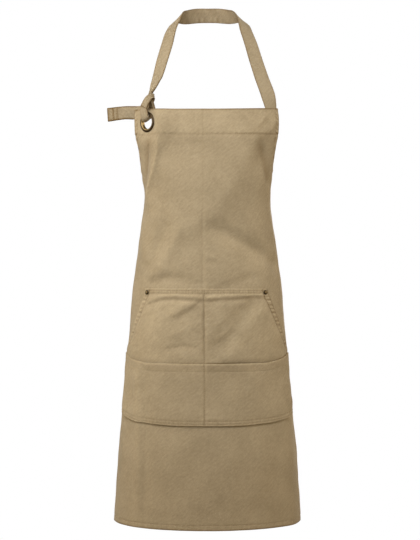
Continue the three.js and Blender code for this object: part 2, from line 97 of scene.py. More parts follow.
soft_box("key_light", (-0.3, -1.15, 0.45), (0.0, -0.2, -0.4), 0.9, 12.1, (0.98, 0.915, 0.80))
bib_light = soft_box("bib_light", (-0.3, -1.5, 0.35), (0.0, -0.2, -0.45), 0.9, 3.2, (0.69, 0.83, 1.0))
bib_light.data.spread = math.radians(80)
soft_box("left_fill", (-2.0, -0.45, 0.25), (0.0, -0.1, -0.45), 1.5, 24.8, (1.0, 0.935, 0.80))
soft_box("right_fill", (2.0, -0.45, 0.25), (0.0, -0.1, -0.45), 1.5, 22.6, (1.0, 0.92, 0.76))
back_light = soft_box("back_light", (0.6, 2.4, -0.35), (0.0, 0.0, -0.5), 1.4, 6, (1.0, 0.95, 0.88))
back_light.data.spread = math.radians(45)
print("lights:", [lamp.name for lamp in bpy.data.lights])

# %% White ground
AMBIENT = 0.165
AMBIENT_TINT = (1.0, 0.77, 0.42, 1.0)

ground = bpy.data.worlds.new("white_ground")
ground.use_nodes = True
ground_nodes = ground.node_tree.nodes
ground_nodes.clear()
seen = ground_nodes.new("ShaderNodeBackground")
seen.inputs["Color"].default_value = (1, 1, 1, 1)
felt = ground_nodes.new("ShaderNodeBackground")
felt.inputs["Color"].default_value = AMBIENT_TINT
felt.inputs["Strength"].default_value = AMBIENT
rays = ground_nodes.new("ShaderNodeLightPath")
either = ground_nodes.new("ShaderNodeMixShader")
ground_out = ground_nodes.new("ShaderNodeOutputWorld")
ground_links = ground.node_tree.links
ground_links.new(rays.outputs["Is Camera Ray"], either.inputs[0])
ground_links.new(felt.outputs[0], either.inputs[1])
ground_links.new(seen.outputs[0], either.inputs[2])
ground_links.new(either.outputs[0], ground_out.inputs["Surface"])
bpy.context.scene.world = ground
print("ambient light", AMBIENT)

# %% Pale floor
FLOOR_HEIGHT = -1.46  # metres below the nape
FLOOR_REACH = 1.75
FLOOR_GLOW = 0.6  # keeps the floor pale for the camera alone


def new_material(name):
    """A material, with its node tree and its main shader."""
    material = bpy.data.materials.new(name)
    material.use_nodes = True
    return material, material.node_tree, material.node_tree.nodes["Principled BSDF"]


floor_turns = np.linspace(0, 2 * math.pi, 96, endpoint=False)
floor_ring = [(FLOOR_REACH * math.cos(t), FLOOR_REACH * math.sin(t), FLOOR_HEIGHT) for t in floor_turns]
floor_mesh = bpy.data.meshes.new("pale_floor")
floor_mesh.from_pydata(floor_ring, [], [list(range(len(floor_ring)))])
floor = add_object("pale_floor", floor_mesh)
floor_paint, floor_tree, floor_shader = new_material("pale_floor")
floor_shader.inputs["Base Color"].default_value = (0.86, 0.85, 0.83, 1)
floor_shader.inputs["Roughness"].default_value = 0.8
floor_shader.inputs["Emission Color"].default_value = (1, 1, 1, 1)
floor_rays = floor_tree.nodes.new("ShaderNodeLightPath")
floor_glow = floor_tree.nodes.new("ShaderNodeMath")
floor_glow.operation = "MULTIPLY"
floor_glow.inputs[1].default_value = FLOOR_GLOW
floor_tree.links.new(floor_rays.outputs["Is Camera Ray"], floor_glow.inputs[0])
floor_tree.links.new(floor_glow.outputs[0], floor_shader.inputs["Emission Strength"])
floor_mesh.materials.append(floor_paint)
print("floor at", FLOOR_HEIGHT, "m")

# %% [markdown]
# ## From flat cloth to worn cloth
# An apron is cut flat, so every place on it has two numbers: how far across from the centre front, and how
# high. What turns those into a place in space is the form it takes when worn. A table of level sections, each
# half a superellipse in front of the side line and half behind it, gives that form. The cloth is laid round
# each section by length, so it is neither stretched nor squeezed.

# %% The pattern's sizes
BIB_TOP = -222.0  # height of the bib's top edge below the nape
APRON_LENGTH = 859.0
ARMHOLE_DEPTH = 290.0
BIB_HALF_WIDTH = 163.0
SKIRT_HALF_WIDTH = 360.0
TOP_HEM_DEPTH = 51.0
TURN = -3.0  # how far round from the middle the apron's centre sits
CLOTH = 1.2  # thickness of one layer of canvas
SEAM_GAP = 0.5
METAL_GAP = 0.35
HEM = BIB_TOP - APRON_LENGTH

# height, half width, depth in front, depth behind, squareness, front line
SECTIONS = np.array([
    [-222, 152.0, 80, 95, 2.40, -205],
    [-250, 151.5, 81, 95, 2.40, -209],
    [-285, 147.0, 84, 95, 2.35, -211],
    [-320, 141.0, 89, 95, 2.30, -209],
    [-360, 135.5, 95, 95, 2.20, -205],
    [-400, 133.0, 100, 95, 2.10, -200],
    [-450, 138.5, 104, 95, 2.05, -195],
    [-512, 147.5, 108, 96, 2.00, -193],
    [-600, 158.5, 115, 104, 2.00, -196],
    [-700, 167.0, 121, 114, 2.00, -200],
    [-800, 176.0, 127, 118, 2.00, -203],
    [-900, 185.0, 131, 120, 2.00, -205],
    [-1000, 191.5, 134, 121, 2.00, -207],
    [-1081, 195.5, 136, 122, 2.00, -208],
])
print(f"finished length {APRON_LENGTH:.0f} mm, skirt width {2 * SKIRT_HALF_WIDTH:.0f} mm")


# %% Sections at every height
def read_sections(heights):
    """A cubic through the table's rows, read at each height."""
    last = len(SECTIONS) - 1
    below = np.clip(np.searchsorted(-SECTIONS[:, 0], -heights), 1, last)
    before, upper, lower, after = [SECTIONS[np.clip(below + k, 0, last)] for k in (-2, -1, 0, 1)]
    span = (lower - upper)[:, :1]
    t = np.clip((heights[:, None] - upper[:, :1]) / span, 0, 1)
    slope_in = (lower - before) / (lower - before)[:, :1]
    slope_out = (after - upper) / (after - upper)[:, :1]
    ends = upper * (2 * t**3 - 3 * t**2 + 1) + lower * (3 * t**2 - 2 * t**3)
    return ends + span * (slope_in * (t**3 - 2 * t**2 + t) + slope_out * (t**3 - t**2))


TABLE_TOP = BIB_TOP + 30
table_heights = np.arange(TABLE_TOP, HEM - 30, -1.0)
table_arcs = np.arange(0, 640.0)


def lay_out_sections():
    """The place of every millimetre round each section, for one side, and each section's half girth."""
    half_width, front_depth, back_depth, squareness, front = read_sections(table_heights).T[1:, :, None]
    angle = np.linspace(0, math.pi, 481)
    power = 2 / squareness
    depth = np.where(np.cos(angle) > 0, -front_depth, back_depth)
    x = half_width * np.abs(np.sin(angle)) ** power
    y = front + front_depth + depth * np.abs(np.cos(angle)) ** power
    steps = np.hypot(np.diff(x), np.diff(y))
    length = np.concatenate([np.zeros((len(x), 1)), np.cumsum(steps, axis=1)], axis=1)
    wide = np.array([np.interp(table_arcs, s, v) for s, v in zip(length, x)])
    deep = np.array([np.interp(table_arcs, s, v) for s, v in zip(length, y)])
    return wide, deep, length[:, -1]


table_wide, table_deep, table_girth = lay_out_sections()
print(f"half girth at the hem {table_girth[int(TABLE_TOP - HEM)]:.0f} mm")


# %% A place on a section
def on_section(distance, height):
    row = np.clip(TABLE_TOP - height, 0, len(table_heights) - 1.001)
    column = np.clip(np.abs(distance), 0, len(table_arcs) - 1.001)
    i, j = row.astype(int), column.astype(int)
    s, t = row - i, column - j

    def read(table):
        above = table[i, j] * (1 - t) + table[i, j + 1] * t
        under = table[i + 1, j] * (1 - t) + table[i + 1, j + 1] * t
        return above * (1 - s) + under * s

    return np.sign(distance) * read(table_wide), read(table_deep)


def out_of_section(distance, height):
    """The level direction straight out from a section."""
    x_after, y_after = on_section(distance + 1, height)
    x_before, y_before = on_section(distance - 1, height)
    out = np.stack([y_after - y_before, x_before - x_after], -1)
    return out / np.maximum(np.linalg.norm(out, axis=-1, keepdims=True), 1e-6)


def smoothstep(value, low, high):
    t = np.clip((value - low) / (high - low), 0, 1)
    return t * t * (3 - 2 * t)


# %% [markdown]
# ## Folds
# Canvas is stiff, so it falls in a few broad folds and keeps the creases it was pressed with. Each fold is a
# line through two or more places on the flat cloth, and the cloth rises, or sinks, within its reach. A cloth
# simulation would give folds too, but not these ones where the photograph has them, so they are listed one
# by one, and a slow random swell of about a millimetre keeps the cloth between them from looking like sheet
# metal.

# %% Folds of the main panel
BODY_FOLDS = [
    # places along the fold as (across, height), rise, reach
    ([(-106, -288), (-135, -404)], 4.0, 17),  # ridge down the bib's left side
    ([(-138, -292), (-160, -380)], -3.0, 16),
    ([(132, -290), (116, -332)], -4.5, 20),  # hollow on the bib's right side
    ([(122, -352), (116, -390)], 1.5, 24),
    ([(12, -438), (120, -510)], -3.5, 28),  # hollow across the belly
    ([(-150, -500), (-105, -560)], 3.0, 22),
    ([(-108, -574), (-40, -560)], -2.5, 14),  # slack above the pocket
    ([(-150, -780), (-156, -1010)], 2.5, 20),  # flutes of the skirt
    ([(186, -800), (196, -1081)], 3.5, 26),
    ([(-300, -700), (-290, -1081)], 6.0, 34),
    ([(296, -720), (288, -1081)], 6.0, 34),
]
FINE_FOLDS = [
    # a fold with one steep side has two reaches, above and below it
    ([(-99, -288), (-102, -304), (-116, -348), (-139, -394)], 2.6, 5),  # sharp crest of the left ridge
    ([(-122, -288), (-131, -312), (-140, -345), (-152, -372)], -3.4, 9),
    ([(115, -294), (130, -318), (148, -364)], -5.2, 12),
    ([(13, -442), (60, -360), (101, -290)], 5.5, (38, 26)),  # diagonal ridge across the bib
    ([(15, -464), (66, -488), (168, -536)], -7.0, (16, 21)),  # steep upper side of the belly's hollow
    ([(-95, -304), (0, -302), (90, -300)], -3.0, (17, 45)),  # tuck under the wide hem
    ([(-40, -290), (-10, -289)], -1.6, (6, 9)),
    ([(-122, -540), (-88, -462)], -4.0, 13),  # drapes towards the left hip
    ([(-93, -542), (-52, -470)], 4.4, (13, 15)),
    ([(-120, -575), (-80, -565), (-14, -578)], -3.0, (8, 13)),  # arch above the pocket
    ([(20, -592), (96, -566)], -3.0, (10, 13)),
    ([(4, -524), (16, -524)], 1.9, 8),
    ([(-7, -440), (-6, -586)], -1.1, 4),  # pressed crease down the centre
    ([(-5, -226), (-5, -270)], -0.8, 4),
    ([(-150, -760), (-148, -1050)], 2.2, 11),  # soft bend down the skirt's left side
    ([(-131, -760), (-130, -1050)], -2.0, 11),
    ([(108, -1044), (150, -985)], -2.6, 18),
    ([(112, -252), (124, -238)], 1.6, 6),  # puckers by the strap's sewn end
    ([(118, -258), (132, -244)], -1.2, 6),
    ([(140, -262), (154, -244)], 0.9, 5),
    ([(146, -268), (158, -258)], -1.4, 4),
    ([(164, -238), (164, -268)], 2.8, 20),  # the bib's right corner swells outwards
]
CREASE_LIGHT_SHADE = [
    # painted highlights along pressed creases, painted shade in the hollows beside them
    ([(-99, -290), (-102, -304), (-116, -348), (-139, -394)], 0.9, 2.6),
    ([(-122, -290), (-132, -312), (-142, -345)], -0.5, 9),
    ([(120, -300), (133, -320), (148, -358)], -0.5, 10),
    ([(-8, -424), (-7.5, -588)], -0.14, 1.3),
    ([(-4, -424), (-3.5, -588)], 0.12, 2.6),
    ([(-6, -226), (-6, -424)], -0.12, 1.3),
]
print(len(BODY_FOLDS), "main folds and", len(FINE_FOLDS), "fine ones")

# %% How far folds and swell lift the cloth
SWELL = 0.9


def fold_rise(folds, across, height):
    total = np.zeros(np.broadcast(across, height).shape)
    for places, rise, reach in folds:
        above, below = np.broadcast_to(reach, 2)
        strongest = np.zeros(total.shape)
        for start, end in zip(places[:-1], places[1:]):
            run = np.subtract(end, start).astype(float)
            to_across, to_height = across - start[0], height - start[1]
            t = np.clip((to_across * run[0] + to_height * run[1]) / (run @ run), 0, 1)
            away = np.hypot(to_across - t * run[0], to_height - t * run[1])
            over = (run[0] * to_height - run[1] * to_across) / math.hypot(*run)
            side = over / np.maximum(away, 1e-6)
            span = (above + below) / 2 + side * (above - below) / 2
            strongest = np.maximum(strongest, np.exp(-((away / span) ** 2)))
        total += rise * strongest
    return total


def slow_swell(across, height, seed, longest, shortest, count=26):
    """Waves of many lengths and directions, as in cloth that has been washed and worn."""
    chance = np.random.default_rng(seed)
    total = np.zeros(np.broadcast(across, height).shape)
    for _ in range(count):
        wave = longest * (shortest / longest) ** chance.random()
        heading, phase = chance.random(2) * 2 * math.pi
        travel = across * math.cos(heading) + height * math.sin(heading)
        total += (wave / longest) * np.sin(2 * math.pi * travel / wave + phase)
    return total / math.sqrt(count)


# %% Where the fittings hold the cloth, and the worn surface
EYELET_ACROSS, EYELET_HEIGHT = -124.0, -246.5
EYELET_TURNED_BACK = math.radians(10)  # the strap's pull turns this corner of the bib outwards
EYELET_FLAT, EYELET_FADE = 27.0, 72.0  # the cloth is pressed flat under the fitting
RIVET_ACROSS, RIVET_HEIGHT, RIVET_REACH = 130.0, -596.5, 14.0  # the rivets hold the pocket's top corners


def rivet_hold(across, height):
    """How firmly a rivet holds the cloth against the layer under it."""
    away = np.hypot(np.abs(across) - RIVET_ACROSS, height - RIVET_HEIGHT)
    return np.exp(-((away / RIVET_REACH) ** 2))


def folded_point(across, height, fine=True):
    distance = across + TURN
    x, y = on_section(distance, height)
    out = out_of_section(distance, height)
    rise = fold_rise(BODY_FOLDS, across, height)
    if fine:
        fine_rise = fold_rise(FINE_FOLDS, across, height) + SWELL * slow_swell(across, height, 11, 110, 26)
        rise += fine_rise * (1 - rivet_hold(across, height))
    return np.stack([x + out[..., 0] * rise, y + out[..., 1] * rise, height + 0 * rise], axis=-1)


def plain_fold(across, height):
    return folded_point(across, height, fine=False)


def normal_of(surface, across, height, step=2.0):
    wide = surface(across + step, height) - surface(across - step, height)
    tall = surface(across, height + step) - surface(across, height - step)
    normal = np.cross(wide, tall)
    return normal / np.linalg.norm(normal, axis=-1, keepdims=True)


eyelet_spot = np.array([EYELET_ACROSS]), np.array([EYELET_HEIGHT])
eyelet_centre = plain_fold(*eyelet_spot)[0]
level_out = normal_of(plain_fold, *eyelet_spot)[0]
out_heading = math.atan2(level_out[1], level_out[0]) - EYELET_TURNED_BACK
eyelet_out = np.array([math.cos(out_heading), math.sin(out_heading), 0])
eyelet_side = np.array([-eyelet_out[1], eyelet_out[0], 0])


def eyelet_hold(points):
    """How firmly the eyelet presses the cloth flat, from 1 at the fitting to 0 away from it."""
    return 1 - smoothstep(np.linalg.norm(points - eyelet_centre, axis=-1), EYELET_FLAT, EYELET_FADE)


def pressed(point):
    """The place drawn back to the eyelet's own plane, as firmly as the eyelet holds it."""
    depth = (point - eyelet_centre) @ eyelet_out
    return point - (eyelet_hold(point) * depth)[..., None] * eyelet_out


def worn_point(across, height):
    return pressed(folded_point(across, height))


def plain_worn(across, height):
    """The worn surface without its fine folds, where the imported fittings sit."""
    return pressed(plain_fold(across, height))


def cloth_point(across, height, lift):
    """A place on the worn apron, so far out from its front face."""
    normal = normal_of(worn_point, across, height)
    return worn_point(across, height) + normal * np.broadcast_to(lift, across.shape)[..., None]


print("eyelet centre", np.round(eyelet_centre, 1), "facing", np.round(eyelet_out, 2))

# %% [markdown]
# ## Cloth as a closed sheet
# A piece of canvas has two faces and a folded edge between them. A plane with a Solidify modifier would do,
# but a hem is twice as thick as the cloth beside it, so both faces are laid out as lattices of points and
# joined round the edge by a rounded wall. Rows lie close together beside each sewn line, where the thread
# pulls a small groove into the cloth. The flat place of every point is kept as its UV, so that the weave can
# follow the cloth.


# %% Sheet of cloth from two lattices
def sheet_mesh(name, outer, inner, across, height, light_and_shade, hole=None):
    rows, columns = outer.shape[:2]
    count = rows * columns
    index = np.arange(count).reshape(rows, columns)
    a, b, c, d = index[:-1, :-1], index[1:, :-1], index[1:, 1:], index[:-1, 1:]
    kept = np.ones(a.shape, bool) if hole is None else ~hole
    quads = [np.stack([a, b, c, d], -1)[kept], np.stack([a, d, c, b], -1)[kept] + count]

    loop = np.concatenate([index[0, :-1], index[:-1, -1], index[-1, :0:-1], index[:0:-1, 0]])
    inside = index[np.clip(loop // columns, 1, rows - 2), np.clip(loop % columns, 1, columns - 2)]
    outer_flat, inner_flat = outer.reshape(-1, 3), inner.reshape(-1, 3)
    middle = (outer_flat + inner_flat) / 2
    outward = middle[loop] - middle[inside]
    outward /= np.linalg.norm(outward, axis=1, keepdims=True)
    thick = np.linalg.norm(outer_flat[loop] - inner_flat[loop], axis=1, keepdims=True)
    edge = middle[loop] + 0.35 * thick * outward
    after, turn = np.roll(loop, -1), 2 * count + np.arange(len(loop))
    turn_after = np.roll(turn, -1)
    quads.append(np.stack([loop, after, turn_after, turn], -1))
    quads.append(np.stack([turn, turn_after, after + count, loop + count], -1))

    if hole is not None:
        gone = np.pad(hole, 1)
        left, under, right, over = gone[1:-1, :-2], gone[2:, 1:-1], gone[1:-1, 2:], gone[:-2, 1:-1]
        for beside, p, q in ((left, a, b), (under, b, c), (right, c, d), (over, d, a)):
            lip = kept & beside
            quads.append(np.stack([q[lip], p[lip], p[lip] + count, q[lip] + count], -1))

    faces = np.concatenate([q.reshape(-1, 4) for q in quads])
    points = np.concatenate([outer_flat, inner_flat, edge])
    flat = np.stack([across.ravel(), height.ravel()], -1)
    flat = np.concatenate([flat, flat, flat[loop]])
    tint = np.concatenate([light_and_shade.ravel(), light_and_shade.ravel(), light_and_shade.ravel()[loop]])
    used, faces = np.unique(faces, return_inverse=True)
    faces = faces.reshape(-1, 4)

    mesh = bpy.data.meshes.new(name)
    mesh.from_pydata((points[used] * MM).tolist(), [], faces.tolist())
    uv = mesh.uv_layers.new(name="flat_cloth")
    uv.data.foreach_set("uv", (flat[used] * MM)[faces.ravel()].ravel().astype(np.float32))
    mark = mesh.attributes.new("light_and_shade", "FLOAT", "POINT")
    mark.data.foreach_set("value", tint[used].astype(np.float32))
    mesh.shade_smooth()
    return add_object(name, mesh)


def finish_piece(piece, material, node):
    piece.data.materials.append(material)
    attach(piece, "root")
    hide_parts(node)
    print(f"{piece.name}: {len(piece.data.polygons)} faces")


# %% Sewn grooves and puckers
def groove(distance, depth=0.45, width=1.1):
    """The line that a row of stitches pulls into the cloth."""
    return -depth * np.exp(-((distance / width) ** 2))


def pucker(along, pitch, seed=0.0):
    """The uneven ripple of cloth gathered a little by its thread."""
    turn = 2 * math.pi * along / pitch
    ripple = np.sin(turn + seed) + 0.6 * np.sin(1.37 * turn + 1.3 + seed) + 0.4 * np.sin(0.61 * turn + 2.1)
    return ripple / 1.6


def near(distance, reach):
    return np.exp(-((distance / reach) ** 2))


# %% [markdown]
# ## The canvas
# The cloth is a washed cotton twill: its threads pass over two and under one, a step further in each row, so
# fine lines climb to the right. A picture of cloth would repeat and blur, so the weave is worked out from the
# flat place of each point. Two effects are shared by the panels, the strap and the tie, and each is a node
# group: the weave itself, and the soft blotches and crumple that washing leaves. The weave's valleys are
# painted darker, as painted shade between the threads. Every point of a sheet also carries a mark that paints
# light and shade into the colour: above zero the cloth is painted paler, as a painted highlight, and below
# zero it is painted darker and warmer, as painted shade, along edges, sewn lines, creases and folds.


# %% Small helpers for shader nodes
def join(tree, value, socket):
    if isinstance(value, bpy.types.NodeSocket):
        tree.links.new(value, socket)
    else:
        socket.default_value = value


def sum_of(tree, operation, *values):
    node = tree.nodes.new("ShaderNodeMath")
    node.operation = operation
    for value, socket in zip(values, node.inputs):
        join(tree, value, socket)
    return node.outputs[0]


def blend_colour(tree, share, first, second, mode="MIX"):
    node = tree.nodes.new("ShaderNodeMix")
    node.data_type = "RGBA"
    node.blend_type = mode
    join(tree, share, node.inputs["Factor"])
    join(tree, first, node.inputs[6])
    join(tree, second, node.inputs[7])
    return node.outputs[2]


def noise(tree, vector, scale, detail=3.0, rough=0.55):
    node = tree.nodes.new("ShaderNodeTexNoise")
    node.inputs["Scale"].default_value = scale
    node.inputs["Detail"].default_value = detail
    node.inputs["Roughness"].default_value = rough
    tree.links.new(vector, node.inputs["Vector"])
    return node.outputs["Fac"]


def turned_and_scaled(tree, vector, turn, scale):
    node = tree.nodes.new("ShaderNodeMapping")
    node.vector_type = "TEXTURE"
    node.inputs["Rotation"].default_value = (0, 0, turn)
    node.inputs["Scale"].default_value = scale
    tree.links.new(vector, node.inputs["Vector"])
    return node.outputs["Vector"]


def bump(tree, height, distance, strength=1.0):
    node = tree.nodes.new("ShaderNodeBump")
    node.inputs["Strength"].default_value = strength
    node.inputs["Distance"].default_value = distance
    tree.links.new(height, node.inputs["Height"])
    return node


def use_group(tree, group):
    node = tree.nodes.new("ShaderNodeGroup")
    node.node_tree = group
    return node


def node_group(name, inputs, outputs):
    group = bpy.data.node_groups.new(name, "ShaderNodeTree")
    for label, kind in inputs:
        group.interface.new_socket(name=label, in_out="INPUT", socket_type=kind)
    for label, kind in outputs:
        group.interface.new_socket(name=label, in_out="OUTPUT", socket_type=kind)
    return group, group.nodes.new("NodeGroupInput").outputs, group.nodes.new("NodeGroupOutput").inputs


# %% Node group: twill weave
twill_weave, given, put = node_group(
    "twill_weave",
    [("Flat Cloth", "NodeSocketVector"), ("Thread", "NodeSocketFloat")],
    [("Height", "NodeSocketFloat")],
)
threads = twill_weave.nodes.new("ShaderNodeSeparateXYZ")
twill_weave.links.new(given["Flat Cloth"], threads.inputs[0])
warp = sum_of(twill_weave, "DIVIDE", threads.outputs["X"], given["Thread"])
weft = sum_of(twill_weave, "DIVIDE", threads.outputs["Y"], given["Thread"])


def crown_of(thread):
    """A thread's rounded top: nothing at its sides, 1 along its middle."""
    turn = sum_of(twill_weave, "MULTIPLY", sum_of(twill_weave, "FRACT", thread), math.pi)
    return sum_of(twill_weave, "SINE", turn)


warp_crown = crown_of(warp)
weft_crown = crown_of(weft)
step_across = sum_of(twill_weave, "FLOOR", warp)
step_up = sum_of(twill_weave, "FLOOR", weft)
twill_step = sum_of(twill_weave, "SUBTRACT", step_across, step_up)
turn_of_twill = sum_of(twill_weave, "FLOORED_MODULO", twill_step, 3.0)
warp_on_top = sum_of(twill_weave, "LESS_THAN", turn_of_twill, 1.5)
under = sum_of(twill_weave, "MULTIPLY", weft_crown, 0.6)
lead = sum_of(twill_weave, "SUBTRACT", warp_crown, under)
weave_height = sum_of(twill_weave, "MULTIPLY_ADD", lead, warp_on_top, under)
twill_weave.links.new(weave_height, put["Height"])
print("twill_weave:", len(twill_weave.nodes), "nodes")

# %% Node group: washed cloth
washed_cloth, given, put = node_group(
    "washed_cloth",
    [("Flat Cloth", "NodeSocketVector")],
    [("Tone", "NodeSocketFloat"), ("Crumple", "NodeSocketFloat")],
)
flat = given["Flat Cloth"]
blotch = noise(washed_cloth, flat, 16)
speckle = noise(washed_cloth, flat, 230)
streak_place = turned_and_scaled(washed_cloth, flat, math.radians(40), (2.4, 0.7, 1))
twill_streak = noise(washed_cloth, streak_place, 190)
tone = sum_of(washed_cloth, "MULTIPLY", blotch, 0.34)
tone = sum_of(washed_cloth, "MULTIPLY_ADD", speckle, 0.28, tone)
tone = sum_of(washed_cloth, "MULTIPLY_ADD", twill_streak, 0.38, tone)
washed_cloth.links.new(tone, put["Tone"])
crumple = sum_of(washed_cloth, "MULTIPLY", noise(washed_cloth, flat, 95), 0.5)
crumple = sum_of(washed_cloth, "MULTIPLY_ADD", twill_streak, 0.5, crumple)
washed_cloth.links.new(crumple, put["Crumple"])
print("washed_cloth:", len(washed_cloth.nodes), "nodes")


# %% Canvas materials
SHADE_TINT = (0.56, 0.48, 0.36, 1)  # the painted shade's colour: how much of each colour is left where the mark is -1
DARKEST = 1.5  # no mark counts for more than this


def canvas_material(name, dark, light, thread):
    material, tree, shader = new_material(name)
    uv = tree.nodes.new("ShaderNodeUVMap")
    uv.uv_map = "flat_cloth"
    weave = use_group(tree, twill_weave)
    weave.inputs["Thread"].default_value = thread
    tree.links.new(uv.outputs["UV"], weave.inputs["Flat Cloth"])
    wash = use_group(tree, washed_cloth)
    tree.links.new(uv.outputs["UV"], wash.inputs["Flat Cloth"])

    tone = sum_of(tree, "MULTIPLY_ADD", wash.outputs["Tone"], 5.2, -2.1)
    colour = blend_colour(tree, tone, (*dark, 1), (*light, 1))
    # painted shade in the weave's valleys between the threads
    weave_shade = sum_of(tree, "MULTIPLY_ADD", weave.outputs["Height"], 0.3, 0.78)
    colour = blend_colour(tree, 1.0, colour, weave_shade, "MULTIPLY")
    # the mark paints light and shade into the colour: painted highlights above zero, and below zero painted
    # shade, darker and warmer
    light_and_shade = tree.nodes.new("ShaderNodeAttribute")
    light_and_shade.attribute_name = "light_and_shade"
    painted_highlight = sum_of(tree, "MAXIMUM", light_and_shade.outputs["Fac"], 0.0)
    painted_shade = sum_of(tree, "MULTIPLY", sum_of(tree, "MINIMUM", light_and_shade.outputs["Fac"], 0.0), -1.0)
    painted_shade = sum_of(tree, "MINIMUM", painted_shade, DARKEST)
    strength = sum_of(tree, "MULTIPLY_ADD", painted_highlight, 0.22, 1.0)
    colour = blend_colour(tree, 1.0, colour, strength, "MULTIPLY")
    shade_filter = blend_colour(tree, painted_shade, (1, 1, 1, 1), SHADE_TINT)
    shade_filter.node.clamp_factor = False
    colour = blend_colour(tree, 1.0, colour, shade_filter, "MULTIPLY")
    tree.links.new(colour, shader.inputs["Base Color"])
    rough = sum_of(tree, "MULTIPLY_ADD", wash.outputs["Tone"], 0.12, 0.84)
    tree.links.new(rough, shader.inputs["Roughness"])

    crumple = bump(tree, wash.outputs["Crumple"], 1.6 * MM, 0.65)
    ribs = bump(tree, weave.outputs["Height"], 0.25 * MM, 0.35)
    tree.links.new(crumple.outputs["Normal"], ribs.inputs["Normal"])
    tree.links.new(ribs.outputs["Normal"], shader.inputs["Normal"])
    shader.inputs["Sheen Weight"].default_value = 0.12
    shader.inputs["Sheen Roughness"].default_value = 0.5
    shader.inputs["Specular IOR Level"].default_value = 0.25
    return material


canvas = canvas_material("khaki_canvas", (0.34, 0.262, 0.160), (0.43, 0.335, 0.212), 0.85 * MM)
strap_canvas = canvas_material("khaki_strap_canvas", (0.305, 0.238, 0.15), (0.39, 0.308, 0.2), 0.75 * MM)
print("canvas materials:", canvas.name, strap_canvas.name)

# %% [markdown]
# ## The main panel
# Bib and skirt are one piece of cloth. Its armholes are quarter ellipses, its edges are turned in and sewn
# 10 mm from the fold, and a wide hem doubles the bib's top. The lattice follows those edges: its outer
# columns keep their distance from the edge, also round the armhole, and meet in a mitre at the waist corner.
# Painted shade darkens the edges, the sewn lines and the hollows beside the creases, painted highlights
# lighten the creases and the crests of the hems' ripples, and painted shade makes the foot of the skirt a
# little darker and warmer.

# %% Rows and edges of the main panel
HEM_STEPS = np.array([0, 0.7, 1.8, 3.5, 5.5, 7.5, 9.0, 10.0, 11.0, 12.8, 15.0])  # in from a hemmed edge
HEM_STITCH = 10.0
FAR_IN = 99.0  # stands for any place well inside the edges
LEFT_CORNER_LIFT, RIGHT_CORNER_LIFT, CORNER_LIFT_DEPTH = 3.0, 6.0, 150.0  # the strap draws the corners up

band_rows = np.concatenate([[0, 0.7, 1.8, 3.5], np.arange(6, 48, 3.0), [48.3, 49.8, 51, 52.2, 53.7, 56]])
armhole_rows = ARMHOLE_DEPTH * np.sin(np.linspace(math.asin(59 / ARMHOLE_DEPTH), math.pi / 2, 62))
below_armhole = ARMHOLE_DEPTH + np.arange(2, 42, 2.5)
skirt_rows = np.concatenate([below_armhole, np.linspace(334, APRON_LENGTH - 17.5, 112)])
down = np.concatenate([band_rows, armhole_rows, skirt_rows, APRON_LENGTH - HEM_STEPS[::-1]])

part = np.clip(down / ARMHOLE_DEPTH, 0, 0.99999)
half_width = SKIRT_HALF_WIDTH - (SKIRT_HALF_WIDTH - BIB_HALF_WIDTH) * np.sqrt(1 - part**2)
half_width[down >= ARMHOLE_DEPTH - 1e-6] = SKIRT_HALF_WIDTH
flare = (SKIRT_HALF_WIDTH - BIB_HALF_WIDTH) / ARMHOLE_DEPTH * part / np.sqrt(1 - part**2)
flare = np.where(down > ARMHOLE_DEPTH, 0, flare) * smoothstep(down, 56, 110)
in_across, in_height = -1 / np.hypot(1, flare), -flare / np.hypot(1, flare)
to_corner = np.hypot(SKIRT_HALF_WIDTH - half_width, ARMHOLE_DEPTH - down)
mitre = 1 - smoothstep(to_corner, 0, 40)
in_across = np.where(down <= ARMHOLE_DEPTH, in_across * (1 - mitre) - mitre, in_across)
in_height = np.where(down > ARMHOLE_DEPTH, -mitre, in_height)
print(f"main panel: {len(down)} rows, widest {2 * half_width.max():.0f} mm")


# %% Lattice of the main panel
def body_lattice():
    spread = np.linspace(-1, 1, 176)[1:-1]
    spread *= 0.8 + 0.2 * spread**2
    side_across = half_width[:, None] + in_across[:, None] * HEM_STEPS
    side_height = BIB_TOP - down[:, None] + in_height[:, None] * HEM_STEPS
    middle_across = spread * side_across[:, -1:]
    middle_height = side_height[:, -1:] + 0 * middle_across
    across = np.concatenate([-side_across, middle_across, side_across[:, ::-1]], axis=1)
    height = np.concatenate([side_height, middle_height, side_height[:, ::-1]], axis=1)
    pull = np.clip(1 - down / CORNER_LIFT_DEPTH, 0, 1)[:, None]
    corner_lift = np.where(across < 0, LEFT_CORNER_LIFT, RIGHT_CORNER_LIFT)
    height += pull * corner_lift * (across / BIB_HALF_WIDTH) ** 2
    return across, height, len(spread)


body_across, body_height, spread_count = body_lattice()
from_side = np.concatenate([HEM_STEPS, np.full(spread_count, FAR_IN), HEM_STEPS[::-1]])[None, :]
from_bottom = (APRON_LENGTH - down)[:, None]
from_top = down[:, None]
edge_run = np.concatenate([[0], np.cumsum(np.hypot(np.diff(half_width), np.diff(down)))])[:, None]
print("main panel lattice:", body_across.shape)

